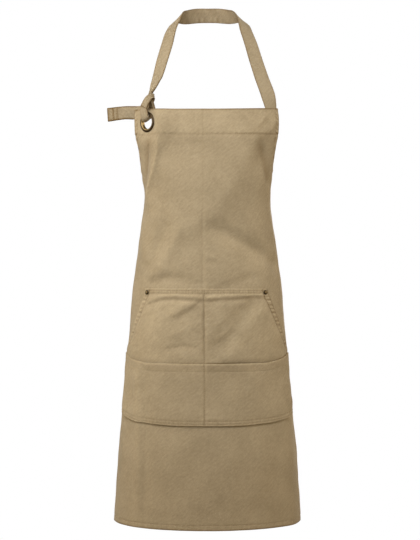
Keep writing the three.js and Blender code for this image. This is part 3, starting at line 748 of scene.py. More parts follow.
# %% Hems and ripples of the main panel
hem_ripple = near(from_side - 6, 4.5) * pucker(edge_run + 0.6 * np.minimum(from_side, 15), 9.5, 0.4)
hem_ripple *= 1 + 0.9 * near(from_top - 90, 45)
foot_ripple = near(from_bottom - 7, 5) * pucker(body_across, 11, 0.7)
band_ripple = near(from_top - TOP_HEM_DEPTH + 3, 5) * pucker(body_across, 13, 0.2)
body_lift = groove(from_side - HEM_STITCH, 0.6) + groove(from_bottom - HEM_STITCH, 0.6)
body_lift += groove(from_top - TOP_HEM_DEPTH, 0.5, 1.5)
body_lift += 0.6 * (1 - smoothstep(from_top, 49.5, 53.5))
body_lift += 0.8 * hem_ripple + 0.2 * foot_ripple + 0.2 * band_ripple
to_eyelet = np.linalg.norm(worn_point(body_across, body_height) - eyelet_centre, axis=-1)
body_lift *= smoothstep(to_eyelet, 22, 32)
doubled = (from_side < 10.5) | (from_bottom < 10.5) | (from_top < TOP_HEM_DEPTH + 0.5)
body_back = body_lift - np.where(doubled, 2 * CLOTH, CLOTH)
print(f"hem ripples rise up to {0.8 * hem_ripple.max():.1f} mm")

# %% Painted light and shade of the main panel
# painted highlights on the pressed creases and the crests of the hems' ripples, painted shade in the hollows
# beside the creases
body_light_shade = fold_rise(CREASE_LIGHT_SHADE, body_across, body_height) + 0.9 * hem_ripple + 0.12 * foot_ripple
# painted shade along the sewn lines of the side and bottom hems
body_light_shade -= 0.4 * near(from_side - HEM_STITCH, 1.2) + 0.25 * near(from_bottom - HEM_STITCH, 1.2)
# painted shade along the wide hem's lower line, stronger to the right, with painted light and shade on its
# ripples
band_line_shade = 0.2 + 0.5 * smoothstep(body_across, 0, 110)
body_light_shade += 0.12 * band_ripple - band_line_shade * near(from_top - TOP_HEM_DEPTH, 1.6)
# painted shade along the cloth's edges
body_light_shade -= 0.9 * (near(from_side, 1.6) + near(from_bottom, 2.0) + near(from_top, 1.7))
# painted shade: the skirt grows darker and warmer towards its foot, most of all on its right side
to_foot = smoothstep(from_top, 640, 790)
body_light_shade -= to_foot * (0.13 + 0.1 * smoothstep(body_across, 30, 170))
print(f"fading of the main panel from {body_light_shade.min():.1f} to {body_light_shade.max():.1f}")

# %% The main panel, with the eyelet's hole
EYELET_HOLE = 16.3

body_outer = cloth_point(body_across, body_height, body_lift)
body_inner = cloth_point(body_across, body_height, body_back)


def open_hole(outer, inner):
    """Leaves out the cells inside the hole and draws their rim onto its circle."""
    offset = outer - eyelet_centre
    offset -= (offset @ eyelet_out)[..., None] * eyelet_out
    away = np.linalg.norm(offset, axis=-1)
    centre = (away[:-1, :-1] + away[1:, :-1] + away[1:, 1:] + away[:-1, 1:]) / 4
    hole = centre < EYELET_HOLE
    around = np.pad(hole, 1).astype(int)
    cells = around[:-1, :-1] + around[1:, :-1] + around[:-1, 1:] + around[1:, 1:]
    rim = (cells > 0) & (cells < 4)
    shift = offset * (EYELET_HOLE / np.maximum(away, 1) - 1)[..., None]
    outer[rim] += shift[rim]
    inner[rim] += shift[rim]
    return hole


eyelet_cells = open_hole(body_outer, body_inner)
apron_body = sheet_mesh(
    "apron_body_cloth", body_outer, body_inner, body_across, body_height, body_light_shade, eyelet_cells
)
finish_piece(apron_body, canvas, "apron_body")

# %% [markdown]
# ## The pockets
# The upper pocket is a hand-warmer: sewn down along its top, its centre and its bottom, and open along two
# slanted sides whose wide hems ripple where they were stitched. The lower pocket lies over its lower half and
# is open along the top. Both are laid on the worn surface with a lift of their own, so that they follow the
# panel and stand off it only where the cloth is slack.

# %% Sizes of the pockets
UPPER_TOP, UPPER_TOP_HALF, POCKET_HALF = -589.0, 136.0, 215.0
HAND_OPENING_END, HAND_OPENING_CURVE = -726.0, 1.4
LOWER_TOP, POCKET_BOTTOM = -742.0, -868.0
MOUTH_CLIMB = (18.0, 120.0, 1.6)  # rise at the sides, where it starts, how suddenly
FOOT_CLIMB = (15.0, 125.0, 2.0)
UPPER_SLACK, LOWER_SLACK = 3.4, 2.8
SEAM_STEPS = np.array([-5, -2.6, -1.2, 0, 1.2, 2.6, 5])  # to both sides of the centre seam
BETWEEN_COLUMNS = 64  # between an edge and the seam


def centre_seam(height):
    return np.interp(-height, [589, 740, 868], [-4.2, -2.4, -2.8])


def climb_to_sides(across, rise, start, power):
    past = np.maximum(0, np.abs(across) - start)
    return rise * (past / (POCKET_HALF - start)) ** power


def pocket_mouth(across):
    return climb_to_sides(across, *MOUTH_CLIMB)


def pocket_foot(across):
    """The bottom edge climbs a little sooner than the mouth, and then less steeply."""
    return climb_to_sides(across, *FOOT_CLIMB) + 3.5 * smoothstep(np.abs(across), 60, 150)


def fullness(across, height):
    """How slack a pocket is: nothing at its centre seam and at its sides."""
    return np.sin(math.pi * np.clip(np.abs(across - centre_seam(height)) / POCKET_HALF, 0, 1)) ** 2


def pocket_columns(edge, height_at, edge_steps):
    """Columns from edge to edge: beside each edge, between, and beside the centre seam."""
    rows = []
    for half, height in zip(edge, height_at):
        seam = centre_seam(height)
        left_edge, right_edge = -half + edge_steps, half - edge_steps[::-1]
        left = np.linspace(left_edge[-1], seam + SEAM_STEPS[0], BETWEEN_COLUMNS + 2)[1:-1]
        right = np.linspace(seam + SEAM_STEPS[-1], right_edge[0], BETWEEN_COLUMNS + 2)[1:-1]
        rows.append(np.concatenate([left_edge, left, seam + SEAM_STEPS, right, right_edge]))
    inside = np.full(2 * BETWEEN_COLUMNS + len(SEAM_STEPS), FAR_IN)
    return np.array(rows), np.concatenate([edge_steps, inside, edge_steps[::-1]])[None, :]


def seam_column(edge_steps):
    return len(edge_steps) + BETWEEN_COLUMNS + len(SEAM_STEPS) // 2


print("pockets span", 2 * POCKET_HALF, "mm")

# %% Folds and creases of the upper pocket
UPPER_FOLDS = [
    ([(-128, -611), (-95, -605), (-67, -603), (-10, -606)], 2.3, (6, 5)),  # cloth swelling out under the hem
    ([(-122, -622), (-93, -613), (-66, -611), (-34, -613), (-8, -616)], -1.9, (3.5, 6)),  # arched crease
    ([(-62, -639), (-40, -625), (-24, -615)], 3.0, (16, 7)),  # diagonal fold from the seam's top
    ([(-50, -646), (-33, -635), (-14, -622)], -1.8, (5, 12)),
    ([(-62, -682), (-24, -664)], 1.4, (14, 10)),
    ([(2, -607), (60, -603.5), (126, -601)], 2.1, 5),
    ([(0, -617), (34, -613), (82, -609), (128, -609)], -1.7, (3.5, 6)),
    ([(4, -656), (22, -634), (42, -612)], 1.4, (10, 17)),  # slanting folds of the right half
    ([(20, -722), (33, -706), (60, -668), (78, -640), (106, -618)], -3.8, (18, 14)),
    ([(56, -728), (92, -680), (128, -630)], 2.8, (22, 85)),
    ([(20, -664), (36, -652)], 1.4, 5),
    ([(28, -690), (52, -668)], 1.5, 6),
    ([(-78, -712), (-50, -706), (-22, -709)], -1.5, (4, 6)),
    ([(-112, -690), (-60, -668)], 0.8, 16),
    ([(150, -690), (196, -652)], 1.0, 12),
]
# each entry: places along a line as (across, height), how much lighter or darker the cloth is painted there,
# reach; painted highlights on ridges and crests, painted shade in hollows
UPPER_LIGHT_SHADE = [
    ([(-100, -602.5), (-67, -601), (-8, -603)], 0.75, 2.0),  # painted highlight on the crest of the cloth under the hem
    ([(2, -604.5), (60, -601), (124, -599.5)], 0.75, 2.0),
    ([(-122, -620), (-93, -610), (-66, -607.5), (-34, -608), (-8, -611)], -0.2, 2.2),
    ([(0, -612), (34, -610), (82, -607), (126, -607)], -0.25, 2.2),
    ([(-46, -619), (-22, -613)], 0.45, 4.5),
    ([(-70, -636), (-52, -622)], 0.4, 12),
    ([(46, -644), (63, -630), (88, -615)], -0.14, 8),  # painted shade in the right half's slanting hollow, painted highlight on its ridge
    ([(14, -694), (30, -682)], -0.12, 11),
    ([(50, -714), (76, -690), (93, -654), (112, -630)], 0.35, 13),
    ([(120, -700), (160, -690)], 0.4, 30),
]
print(len(UPPER_FOLDS), "folds on the upper pocket")

# %% Lattice of the upper pocket
SLANT_STEPS = np.array([0, 0.8, 2.0, 3.2, 4.6, 6.4, 8.4, 10.2, 11.8, 13.0, 14.2, 16, 18.5, 21.5])
SLANT_STITCH = 13.0
TOP_STITCHES = (3.4, 8.8)

upper_steps = np.concatenate([[0, 0.8, 2.0, 3.4, 4.8, 6.1, 7.4, 8.8, 10.2, 12], np.arange(14.2, 160, 2.5)])
upper_steps = np.concatenate([upper_steps, np.linspace(164, UPPER_TOP - POCKET_BOTTOM, 22)])
share = upper_steps / (UPPER_TOP - POCKET_BOTTOM)
opening = np.clip(upper_steps / (UPPER_TOP - HAND_OPENING_END), 0, 1) ** HAND_OPENING_CURVE
upper_edge = UPPER_TOP_HALF + (POCKET_HALF - UPPER_TOP_HALF) * opening
upper_across, from_slant = pocket_columns(upper_edge, UPPER_TOP - upper_steps, SLANT_STEPS)
upper_height = UPPER_TOP + share[:, None] * (POCKET_BOTTOM + pocket_foot(upper_across) - UPPER_TOP)
print("upper pocket lattice:", upper_across.shape)


# %% Lift of the upper pocket
def upper_lift(across, height):
    fall = np.clip((UPPER_TOP - height) / (UPPER_TOP - LOWER_TOP), 0, 1)
    return SEAM_GAP + UPPER_SLACK * fullness(across, height) * np.sin(math.pi * fall)


from_upper_top = upper_steps[:, None]
from_seam = upper_across - centre_seam(upper_height)
shown = 1 - smoothstep(from_upper_top, 140, 165)
seamed = shown * smoothstep(from_upper_top, 2.6, 4.4)
slant_run = upper_steps[:, None] * 1.17
rungs = pucker(slant_run, 10.4, 0.4) * np.exp(-(((from_slant - 6.8) / 5.2) ** 4)) * shown
rungs *= smoothstep(from_upper_top, 8, 22)
top_ripple = near(from_upper_top - 6, 6) * pucker(upper_across, 6.5, 0.3)
upper_extra = 2.0 * smoothstep(from_upper_top, 6, 34) * smoothstep(from_slant, 8, 20)
upper_extra += fold_rise(UPPER_FOLDS, upper_across, upper_height)
upper_extra += 0.55 * near(from_seam, 13) * pucker(upper_steps[:, None], 15, np.sign(from_seam))
upper_extra += 0.7 * slow_swell(upper_across, upper_height, 5, 60, 16)
upper_extra *= shown * smoothstep(from_upper_top, 2, 12) * (1 - near(from_seam, 4))
upper_extra *= 1 - rivet_hold(upper_across, upper_height)
upper_extra = np.maximum(upper_extra, 0.25 - upper_lift(upper_across, upper_height))
upper_extra += 1.5 * np.maximum(rungs, -0.4) + 0.25 * top_ripple
upper_face = upper_lift(upper_across, upper_height) + CLOTH + upper_extra
upper_face += sum(groove(from_upper_top - line, 0.6) for line in TOP_STITCHES)
upper_face += groove(from_slant - SLANT_STITCH, 0.8, 1.3) * shown
upper_face += 0.6 * (from_upper_top < 10) + groove(from_seam, 0.9, 1.2) * seamed
upper_back = upper_face - CLOTH - 0.2
print(f"upper pocket stands up to {upper_back.max():.1f} mm off the panel")

# %% Painted light and shade of the upper pocket, and its sheet
# painted highlights on the top edge, the slanted edges and the hems' ripples, painted shade in the sewn lines
# and the seam
upper_light_shade = 0.8 * near(from_upper_top - 0.6, 1.3) + 0.5 * near(from_slant - 0.8, 1.4) * shown
upper_light_shade += 1.2 * rungs + 0.25 * top_ripple - 0.5 * near(from_seam, 1.2) * seamed
upper_light_shade -= 1.1 * near(from_slant - SLANT_STITCH, 1.7) * shown
# painted shadow along the right slanted edge
upper_light_shade -= 1.5 * near(from_slant, 2.0) * shown * smoothstep(upper_across, 0, 60)
upper_light_shade -= sum(0.55 * near(from_upper_top - line, 1.0) for line in TOP_STITCHES)
over_mouth = upper_height - LOWER_TOP - pocket_mouth(upper_across)
mouth_places = [-215, -110, -55, 0, 10, 58, 78, 130, 185, 215]
mouth_shade = [0.5, 0.3, 0.5, 0.5, 1.1, 1.1, 0.7, 0.5, 1.4, 2.6]
upper_light_shade -= np.interp(upper_across, mouth_places, mouth_shade) * near(over_mouth - 0.5, 1.9)
upper_light_shade += fold_rise(UPPER_LIGHT_SHADE, upper_across, upper_height)
# painted light: the left side of the pocket is lighter below its hem
upper_light_shade += 0.45 * smoothstep(-upper_across, 25, 120) * smoothstep(from_upper_top, 6, 20)
upper_outer = cloth_point(upper_across, upper_height, upper_face)
upper_inner = cloth_point(upper_across, upper_height, upper_back)
upper_pocket = sheet_mesh(
    "upper_pocket_cloth", upper_outer, upper_inner, upper_across, upper_height, upper_light_shade
)
finish_piece(upper_pocket, canvas, "upper_pocket")

# %% Lattice of the lower pocket
SIDE_STEPS = np.array([0, 0.8, 2.0, 3.4, 4.8, 7, 10])
SIDE_STITCH = 3.4
LOWER_TOP_STITCH = 16.2
LOWER_BOTTOM_STITCHES = (3.2, 9.4)
LOWER_FOLDS = [
    ([(4, -741), (50, -741), (80, -740)], 2.4, (6, 14)),  # the mouth gapes to the right of the seam
    ([(4, -837), (4, -839)], 0.9, 4),  # small bumps beside the seam
    ([(4, -852), (4, -853)], 0.9, 4),
    ([(18, -852), (20, -853)], 0.8, 4),
    ([(24, -861), (26, -862)], 0.7, 4),
    ([(60, -775), (150, -800)], -0.8, 20),
]

lower_depth = LOWER_TOP - POCKET_BOTTOM
top_steps = [0, 0.8, 1.8, 3.0, 4.6, 6.6, 8.8, 11.0, 13.0, 14.4, 15.4, 16.2, 17.0, 18.0, 19.4, 21.4]
foot_steps = lower_depth - np.array([13, 10.8, 9.4, 8.0, 6.2, 4.6, 3.2, 1.9, 0.8, 0])
lower_steps = np.concatenate([top_steps, np.arange(24, lower_depth - 14, 2.5), foot_steps])
lower_edge = np.full(len(lower_steps), POCKET_HALF)
lower_across, from_lower_side = pocket_columns(lower_edge, LOWER_TOP - lower_steps, SIDE_STEPS)
lower_climb = pocket_mouth(lower_across)
lower_foot_share = (lower_steps / lower_depth)[:, None]
lower_climb += lower_foot_share * (pocket_foot(lower_across) - lower_climb)
lower_height = LOWER_TOP - lower_steps[:, None] + lower_climb
print("lower pocket lattice:", lower_across.shape)

# %% Lift of the lower pocket
from_lower_top = lower_steps[:, None]
from_lower_foot = lower_depth - from_lower_top
from_seam = lower_across - centre_seam(lower_height)
lower_fall = from_lower_top / lower_depth
mouth_ripple = near(from_lower_top - 19, 5) * pucker(lower_across, 15, 1.1)
foot_ripple = near(from_lower_foot - 6, 5) * pucker(lower_across, 9, 0.5)
lower_extra = fold_rise(LOWER_FOLDS, lower_across, lower_height) + 0.22 * mouth_ripple + 0.3 * foot_ripple
lower_extra += 0.35 * near(from_seam, 12) * pucker(from_lower_top, 14, np.sign(from_seam))
lower_extra += 0.6 * slow_swell(lower_across, lower_height, 8, 60, 18)
lower_extra *= 1 - near(from_seam, 4)
lower_slack = LOWER_SLACK * fullness(lower_across, lower_height) * (1 - lower_fall) ** 0.7
lower_under = upper_lift(lower_across, lower_height) + CLOTH + SEAM_GAP
lower_face = lower_under + np.maximum(lower_slack + lower_extra, 0) + CLOTH
lower_face += groove(from_lower_top - LOWER_TOP_STITCH, 0.25) + groove(from_seam, 0.9, 1.2)
lower_face += sum(groove(from_lower_foot - line, 0.6) for line in LOWER_BOTTOM_STITCHES)
lower_face += groove(from_lower_side - SIDE_STITCH) + 0.25 * (from_lower_top < LOWER_TOP_STITCH)
lower_back = lower_face - CLOTH - 0.4 * (from_lower_top < LOWER_TOP_STITCH)
print(f"lower pocket stands up to {lower_back.max():.1f} mm off the panel")

# %% Painted light and shade of the lower pocket, and its sheet
# a painted highlight on the top edge, painted light and shade on the hems' ripples
lower_light_shade = 0.9 * near(from_lower_top - 1.2, 1.1) + 0.12 * mouth_ripple + 0.2 * foot_ripple
# painted shade on the hem band below the top edge, and painted light on the pocket's left side
hem_band_shade = smoothstep(from_lower_top, 2.5, 5) * (1 - smoothstep(from_lower_top, 15, 18))
lower_light_shade += 0.35 * smoothstep(-lower_across, 122, 150) - 0.12 * hem_band_shade
# painted shade in the sewn lines and the seam
lower_light_shade += 0.1 * near(from_lower_top - LOWER_TOP_STITCH, 1.2) - 0.5 * near(from_seam, 1.2)
lower_light_shade -= sum(0.5 * near(from_lower_foot - line, 1.0) for line in LOWER_BOTTOM_STITCHES)
lower_light_shade -= 0.4 * near(from_lower_side - SIDE_STITCH, 1.2)
lower_outer = cloth_point(lower_across, lower_height, lower_face)
lower_inner = cloth_point(lower_across, lower_height, lower_back)
lower_pocket = sheet_mesh(
    "lower_pocket_cloth", lower_outer, lower_inner, lower_across, lower_height, lower_light_shade
)
finish_piece(lower_pocket, canvas, "lower_pocket")

# %% [markdown]
# ## Aged brass
# The eyelet and the rivets are turned fittings of brass that was darkened and then rubbed bright by the strap
# and by use. The shared effect is a node group that mixes a dark skin with bare brass. How bare a place is
# comes from an attribute that each piece carries, broken up by a fine noise.

# %% Node group: rubbed patina
DARK_SKIN = (0.066, 0.046, 0.028, 1)
BARE_BRASS = (0.33, 0.235, 0.11, 1)

rubbed_patina, given, put = node_group(
    "rubbed_patina",
    [("Place", "NodeSocketVector"), ("Bare", "NodeSocketFloat")],
    [("Colour", "NodeSocketColor"), ("Roughness", "NodeSocketFloat"), ("Pits", "NodeSocketFloat")],
)
clouds = noise(rubbed_patina, given["Place"], 260, 4)
pits = noise(rubbed_patina, given["Place"], 900, 3)
bare = sum_of(rubbed_patina, "ADD", given["Bare"], sum_of(rubbed_patina, "MULTIPLY_ADD", clouds, 0.5, -0.25))
bare_range = rubbed_patina.nodes.new("ShaderNodeMapRange")
bare_range.interpolation_type = "SMOOTHSTEP"
bare_range.inputs["From Min"].default_value = 0.2
bare_range.inputs["From Max"].default_value = 0.85
rubbed_patina.links.new(bare, bare_range.inputs["Value"])
metal_colour = blend_colour(rubbed_patina, bare_range.outputs[0], DARK_SKIN, BARE_BRASS)
rubbed_patina.links.new(metal_colour, put["Colour"])
rubbed = sum_of(rubbed_patina, "MULTIPLY_ADD", bare_range.outputs[0], -0.12, 0.38)
rubbed_patina.links.new(sum_of(rubbed_patina, "MULTIPLY_ADD", pits, 0.12, rubbed), put["Roughness"])
rubbed_patina.links.new(pits, put["Pits"])
print("rubbed_patina:", len(rubbed_patina.nodes), "nodes")


# %% Brass materials
def brass_material(name, pit_depth):
    material, tree, shader = new_material(name)
    place = tree.nodes.new("ShaderNodeTexCoord")
    rubbed_place = tree.nodes.new("ShaderNodeAttribute")
    rubbed_place.attribute_name = "rubbed"
    patina = use_group(tree, rubbed_patina)
    tree.links.new(place.outputs["Object"], patina.inputs["Place"])
    tree.links.new(rubbed_place.outputs["Fac"], patina.inputs["Bare"])
    tree.links.new(patina.outputs["Colour"], shader.inputs["Base Color"])
    tree.links.new(patina.outputs["Roughness"], shader.inputs["Roughness"])
    pitted = bump(tree, patina.outputs["Pits"], pit_depth, 0.3)
    tree.links.new(pitted.outputs["Normal"], shader.inputs["Normal"])
    shader.inputs["Metallic"].default_value = 1.0
    return material


eyelet_brass = brass_material("eyelet_brass", 0.15 * MM)
rivet_brass = brass_material("rivet_brass", 0.2 * MM)
print("brass materials:", eyelet_brass.name, rivet_brass.name)


# %% Turned fittings
def softened(profile, rounds=2):
    """Cuts the corners off a profile, again and again, as polishing does."""
    profile = np.asarray(profile, float)
    for _ in range(rounds):
        first, second = profile[:-1], profile[1:]
        cut = np.stack([0.75 * first + 0.25 * second, 0.25 * first + 0.75 * second], 1).reshape(-1, 2)
        profile = np.concatenate([profile[:1], cut, profile[-1:]])
    return profile


def turned_piece(name, profile, rubbed, centre, axis, closed, sides=72):
    """Spins a profile of (radius, out) round an axis."""
    axis = Vector(axis).normalized()
    side = axis.orthogonal().normalized()
    up = axis.cross(side)
    mesh = bpy.data.meshes.new(name)
    build = bmesh.new()
    shade = build.verts.layers.float.new("rubbed")
    rings = []
    for radius, out in profile:
        ring = []
        for turn in np.linspace(0, 2 * math.pi, sides, endpoint=False):
            place = Vector(centre) + axis * out + (side * math.cos(turn) + up * math.sin(turn)) * radius
            vert = build.verts.new(place * MM)
            vert[shade] = rubbed(radius, out)
            ring.append(vert)
        rings.append(ring)
    pairs = list(zip(rings, rings[1:]))
    if closed:
        pairs.append((rings[-1], rings[0]))
    for lower, upper in pairs:
        for k in range(sides):
            build.faces.new((lower[k], lower[k - 1], upper[k - 1], upper[k]))
    bmesh.ops.remove_doubles(build, verts=build.verts, dist=1e-6)
    bmesh.ops.recalc_face_normals(build, faces=build.faces)
    build.to_mesh(mesh)
    build.free()
    mesh.shade_smooth()
    return add_object(name, mesh)


# %% Eyelet and its washer
BORE, BARREL, FLANGE, FLANGE_HEIGHT = 14.3, 15.3, 21.0, 2.2
WASHER, WASHER_THICKNESS = 20.2, 0.9
TOP_HEM_THICKNESS = 2 * CLOTH

lip = -TOP_HEM_THICKNESS - 2 * METAL_GAP - WASHER_THICKNESS
eyelet_profile = [
    (BORE, lip - 1.2), (BORE, -1.0), (BORE, FLANGE_HEIGHT - 1.1), (BORE + 0.7, FLANGE_HEIGHT),
    (BORE + 2.4, FLANGE_HEIGHT + 0.4), (BORE + 4.2, FLANGE_HEIGHT + 0.1), (FLANGE - 1.2, METAL_GAP + 1.3),
    (FLANGE, METAL_GAP + 0.5), (FLANGE - 0.2, METAL_GAP), (FLANGE - 2, METAL_GAP), (BARREL, METAL_GAP),
    (BARREL, -1.0), (BARREL, lip - METAL_GAP), (BARREL + 1.7, lip - METAL_GAP), (BARREL + 1.4, lip - 1.2),
    (BORE + 0.6, lip - 1.7),
]


def rubbed_eyelet(radius, out):
    inner = 1 - smoothstep(radius, BORE + 0.8, BORE + 2.8)
    return float(0.9 * inner + 0.1)


eyelet_ring = softened(eyelet_profile + eyelet_profile[:1])
eyelet = turned_piece("eyelet_ring", eyelet_ring, rubbed_eyelet, eyelet_centre, eyelet_out, closed=True)
finish_piece(eyelet, eyelet_brass, "eyelet")

washer_front = -TOP_HEM_THICKNESS - METAL_GAP
washer_back = washer_front - WASHER_THICKNESS
washer_in = BARREL + METAL_GAP
washer_profile = [
    (washer_in, washer_back), (washer_in, washer_front), (WASHER - 0.3, washer_front),
    (WASHER, washer_front - 0.3), (WASHER, washer_back + 0.3), (WASHER - 0.4, washer_back),
    (washer_in + 1, washer_back - 0.15),
]
washer = turned_piece(
    "eyelet_back_washer", washer_profile, lambda radius, out: 0.35, eyelet_centre, eyelet_out, closed=True
)
finish_piece(washer, eyelet_brass, "eyelet_washer")

# %% Rivets
RIVET_CAP, RIVET_DOME = 4.8, 2.6
RIVET_POST, RIVET_BACK, RIVET_BACK_GAP = 2.0, 3.8, 0.75


def rubbed_rivet(radius, out):
    return float(0.42 * (1 - smoothstep(radius, 0.3 * RIVET_CAP, 0.8 * RIVET_CAP)) + 0.12)


for node, across in (("rivet_left", -RIVET_ACROSS), ("rivet_right", RIVET_ACROSS)):
    spot = np.array([across]), np.array([RIVET_HEIGHT])
    seat, axis = plain_worn(*spot)[0], normal_of(plain_worn, *spot)[0]
    seat_lift = float(upper_lift(*spot)[0]) + CLOTH + METAL_GAP
    behind = -CLOTH - RIVET_BACK_GAP
    cap = [
        (RIVET_POST, seat_lift), (RIVET_CAP - 0.2, seat_lift), (RIVET_CAP, seat_lift + 0.3),
        (RIVET_CAP - 0.15, seat_lift + 0.36 * RIVET_DOME), (0.78 * RIVET_CAP, seat_lift + 0.62 * RIVET_DOME),
        (0.7 * RIVET_CAP, seat_lift + 0.64 * RIVET_DOME), (0.6 * RIVET_CAP, seat_lift + 0.8 * RIVET_DOME),
        (0.3 * RIVET_CAP, seat_lift + 0.98 * RIVET_DOME), (0.0, seat_lift + RIVET_DOME),
    ]
    back = [(0.0, behind - 0.9), (RIVET_BACK, behind - 0.9), (RIVET_BACK, behind), (RIVET_POST, behind)]
    profile = back + softened(cap).tolist()
    rivet = turned_piece(f"{node}_cap", profile, rubbed_rivet, seat, axis, closed=False, sides=40)
    finish_piece(rivet, rivet_brass, node)

# %% [markdown]
# ## The neck strap
# One band of doubled canvas is sewn behind the bib's right corner, goes round the nape and comes down to the
# eyelet on the left. There it passes through from behind, up across itself, round behind and out to the side
# as a free tail. A curve with a bevel can't change from a flat band to a gathered one, so the band is swept
# as rings through stations, each with its place, the way its face looks, its width and its thickness. Where
# it is squeezed narrower than it was sewn, its faces fold into pleats.

# %% Stations of the strap
STRAP_WIDTH, STRAP_THICK, STRAP_BUNCHED = 31.0, 2.4, 5.0
SEWN_LENGTH, SEWN_INSET, SEWN_GAP = 36.0, 14.6, 2.8  # of the end behind the bib's right corner


def on_bib(height):
    spot = np.array([BIB_HALF_WIDTH - SEWN_INSET]), np.array([height])
    out = normal_of(plain_worn, *spot)[0]
    place = plain_worn(*spot)[0] - (TOP_HEM_THICKNESS + SEWN_GAP + STRAP_THICK / 2) * out
    return [*place, *out, STRAP_WIDTH, STRAP_THICK]


def in_space(x, y, z, facing, width=STRAP_WIDTH, thick=STRAP_THICK):
    return [x, y, z, *facing, width, thick]


def in_knot(side, up, out, facing, width, thick=STRAP_BUNCHED):
    level = np.array([0, 0, 1])
    place = eyelet_centre + side * eyelet_side + up * level + out * eyelet_out
    look = facing[0] * eyelet_side + facing[1] * level + facing[2] * eyelet_out
    return [*place, *look, width, thick]


strap_stations = np.array([
    on_bib(BIB_TOP - SEWN_LENGTH),
    on_bib(BIB_TOP - SEWN_LENGTH / 2),
    on_bib(BIB_TOP),
    in_space(126, -160, -190, (0.3, -0.94, 0.15)),
    in_space(113.5, -146, -152, (0.3, -0.92, 0.25)),
    in_space(101.7, -127, -112, (0.32, -0.88, 0.35)),
    in_space(91.5, -107, -74, (0.38, -0.8, 0.46)),
    in_space(82.5, -88, -45, (0.46, -0.66, 0.6)),
    in_space(77.5, -67.5, -25.5, (0.56, -0.58, 0.58)),
    in_space(66, -46, -8, (0.76, -0.1, 0.62)),
    in_space(45, -22, -3, (0.74, 0.6, 0.3)),
    in_space(22, -6, 1.8, (0.4, 0.9, 0.1)),
    in_space(0, STRAP_THICK / 2, 3.2, (0, 1, 0)),
    in_space(-22, -6, 1.6, (-0.4, 0.9, 0.1)),
    in_space(-44, -22, -3.8, (-0.74, 0.6, 0.3)),
    in_space(-60.5, -46, -9, (-0.78, -0.1, 0.6)),
    in_space(-69.5, -67.5, -25, (-0.62, -0.55, 0.55)),
    in_space(-77, -90, -44, (-0.62, -0.65, 0.5)),
    in_space(-85, -112, -78, (-0.52, -0.78, 0.38)),
    in_space(-94, -136, -114, (-0.46, -0.84, 0.28), 28, 2.8),
    in_space(-103.5, -166, -155, (-0.45, -0.87, 0.2), 23, 3.4),
    in_knot(9.6, 76, -9.5, (0.4, 0, 1), 16.5, 4),
    in_knot(9, 64.5, -3.4, (0.3, 0.05, 1), 9, 4.8),
    in_knot(6.2, 59.5, -2.8, (0.15, 0.1, 1), 6.4, 5.2),
    in_knot(4.6, 53, -2, (0, 0.1, 1), 6.4, 5.2),
    in_knot(5.5, 43, -4.5, (0, 0.1, 1), 9),
    in_knot(6.5, 29, -8, (0, 0, 1), 14),
    in_knot(4, 15, -9.6, (0, -0.2, 1), 17, 4),
    in_knot(0.5, 8.5, -6.5, (-0.3, 0.66, 0.7), 16, 3.4),
    in_knot(-0.8, 4.9, 0, (-0.46, 0.88, 0), 17.5, 3.6),
    in_knot(-1, 7.6, 5.4, (-0.36, 0.66, -0.65), 18, 4),
    in_knot(-2, 18, 6.8, (0, 0, -1), 18, 4),
    in_knot(-3, 28.5, 7.4, (0, 0, -1), 18, 4.4),
    in_knot(3, 38.2, 7.6, (0, 0, -1), 17),
    in_knot(8.3, 46, 6.6, (-0.1, 0, -1), 15),
    in_knot(11.4, 50.6, 3.9, (-0.7, 0, -0.7), 11, 4.2),
    in_knot(11.8, 53, -2.2, (-1, 0, 0), 8.5, 3.6),
    in_knot(8, 53, -9.2, (-0.3, 0, 0.95), 10, 4.6),
    in_knot(0, 47.5, -12.4, (0, 0, 1), 13),
    in_knot(-11, 38, -12.5, (0, 0, 1), 16, 4.2),
    in_knot(-25, 27, -14, (0, 0.1, 1), 22, 3),
    in_knot(-42, 23.5, -12, (0.2, 0.1, 1), 28, STRAP_THICK),
    in_knot(-62, 23, 7, (0.5, 0.38, 0.78), STRAP_WIDTH, STRAP_THICK),
    in_knot(-89, 19, 29, (0.45, 0.28, 0.85), STRAP_WIDTH, STRAP_THICK),
])
KNOT_CREASE = 32  # the station where the loop is drawn in under the knot
BEHIND_KNOT = 26  # and where the strap passes behind it, in the knot's own shade
print(len(strap_stations), "strap stations")


# %% The strap's path
def smooth_path(places, pitch):
    """A centripetal Catmull-Rom curve through the places, and each point's station."""
    ends = 2 * places[:1] - places[1:2], 2 * places[-1:] - places[-2:-1]
    ring = np.concatenate([ends[0], places, ends[1]])
    points, stations = [], []
    for k in range(len(places) - 1):
        p0, p1, p2, p3 = ring[k:k + 4]
        gap = [math.sqrt(np.linalg.norm(q - p)) for p, q in ((p0, p1), (p1, p2), (p2, p3))]
        leave = ((p1 - p0) / gap[0] - (p2 - p0) / (gap[0] + gap[1]) + (p2 - p1) / gap[1]) * gap[1]
        arrive = ((p2 - p1) / gap[1] - (p3 - p1) / (gap[1] + gap[2]) + (p3 - p2) / gap[2]) * gap[1]
        steps = max(4, round(np.linalg.norm(p2 - p1) / pitch))
        t = np.arange(steps)[:, None] / steps
        bend = (2 * t**3 - 3 * t**2 + 1) * p1 + (3 * t**2 - 2 * t**3) * p2
        points.append(bend + (t**3 - 2 * t**2 + t) * leave + (t**3 - t**2) * arrive)
        stations.append(k + t[:, 0])
    return np.concatenate([*points, places[-1:]]), np.append(np.concatenate(stations), len(places) - 1)


def eased(values, stations, reach=3):
    """Reads a column of the stations along the path, with its corners smoothed."""
    read = np.interp(stations, np.arange(len(values)), values)
    padded = np.pad(read, reach, mode="edge")
    return np.convolve(padded, np.full(2 * reach + 1, 1 / (2 * reach + 1)), mode="valid")


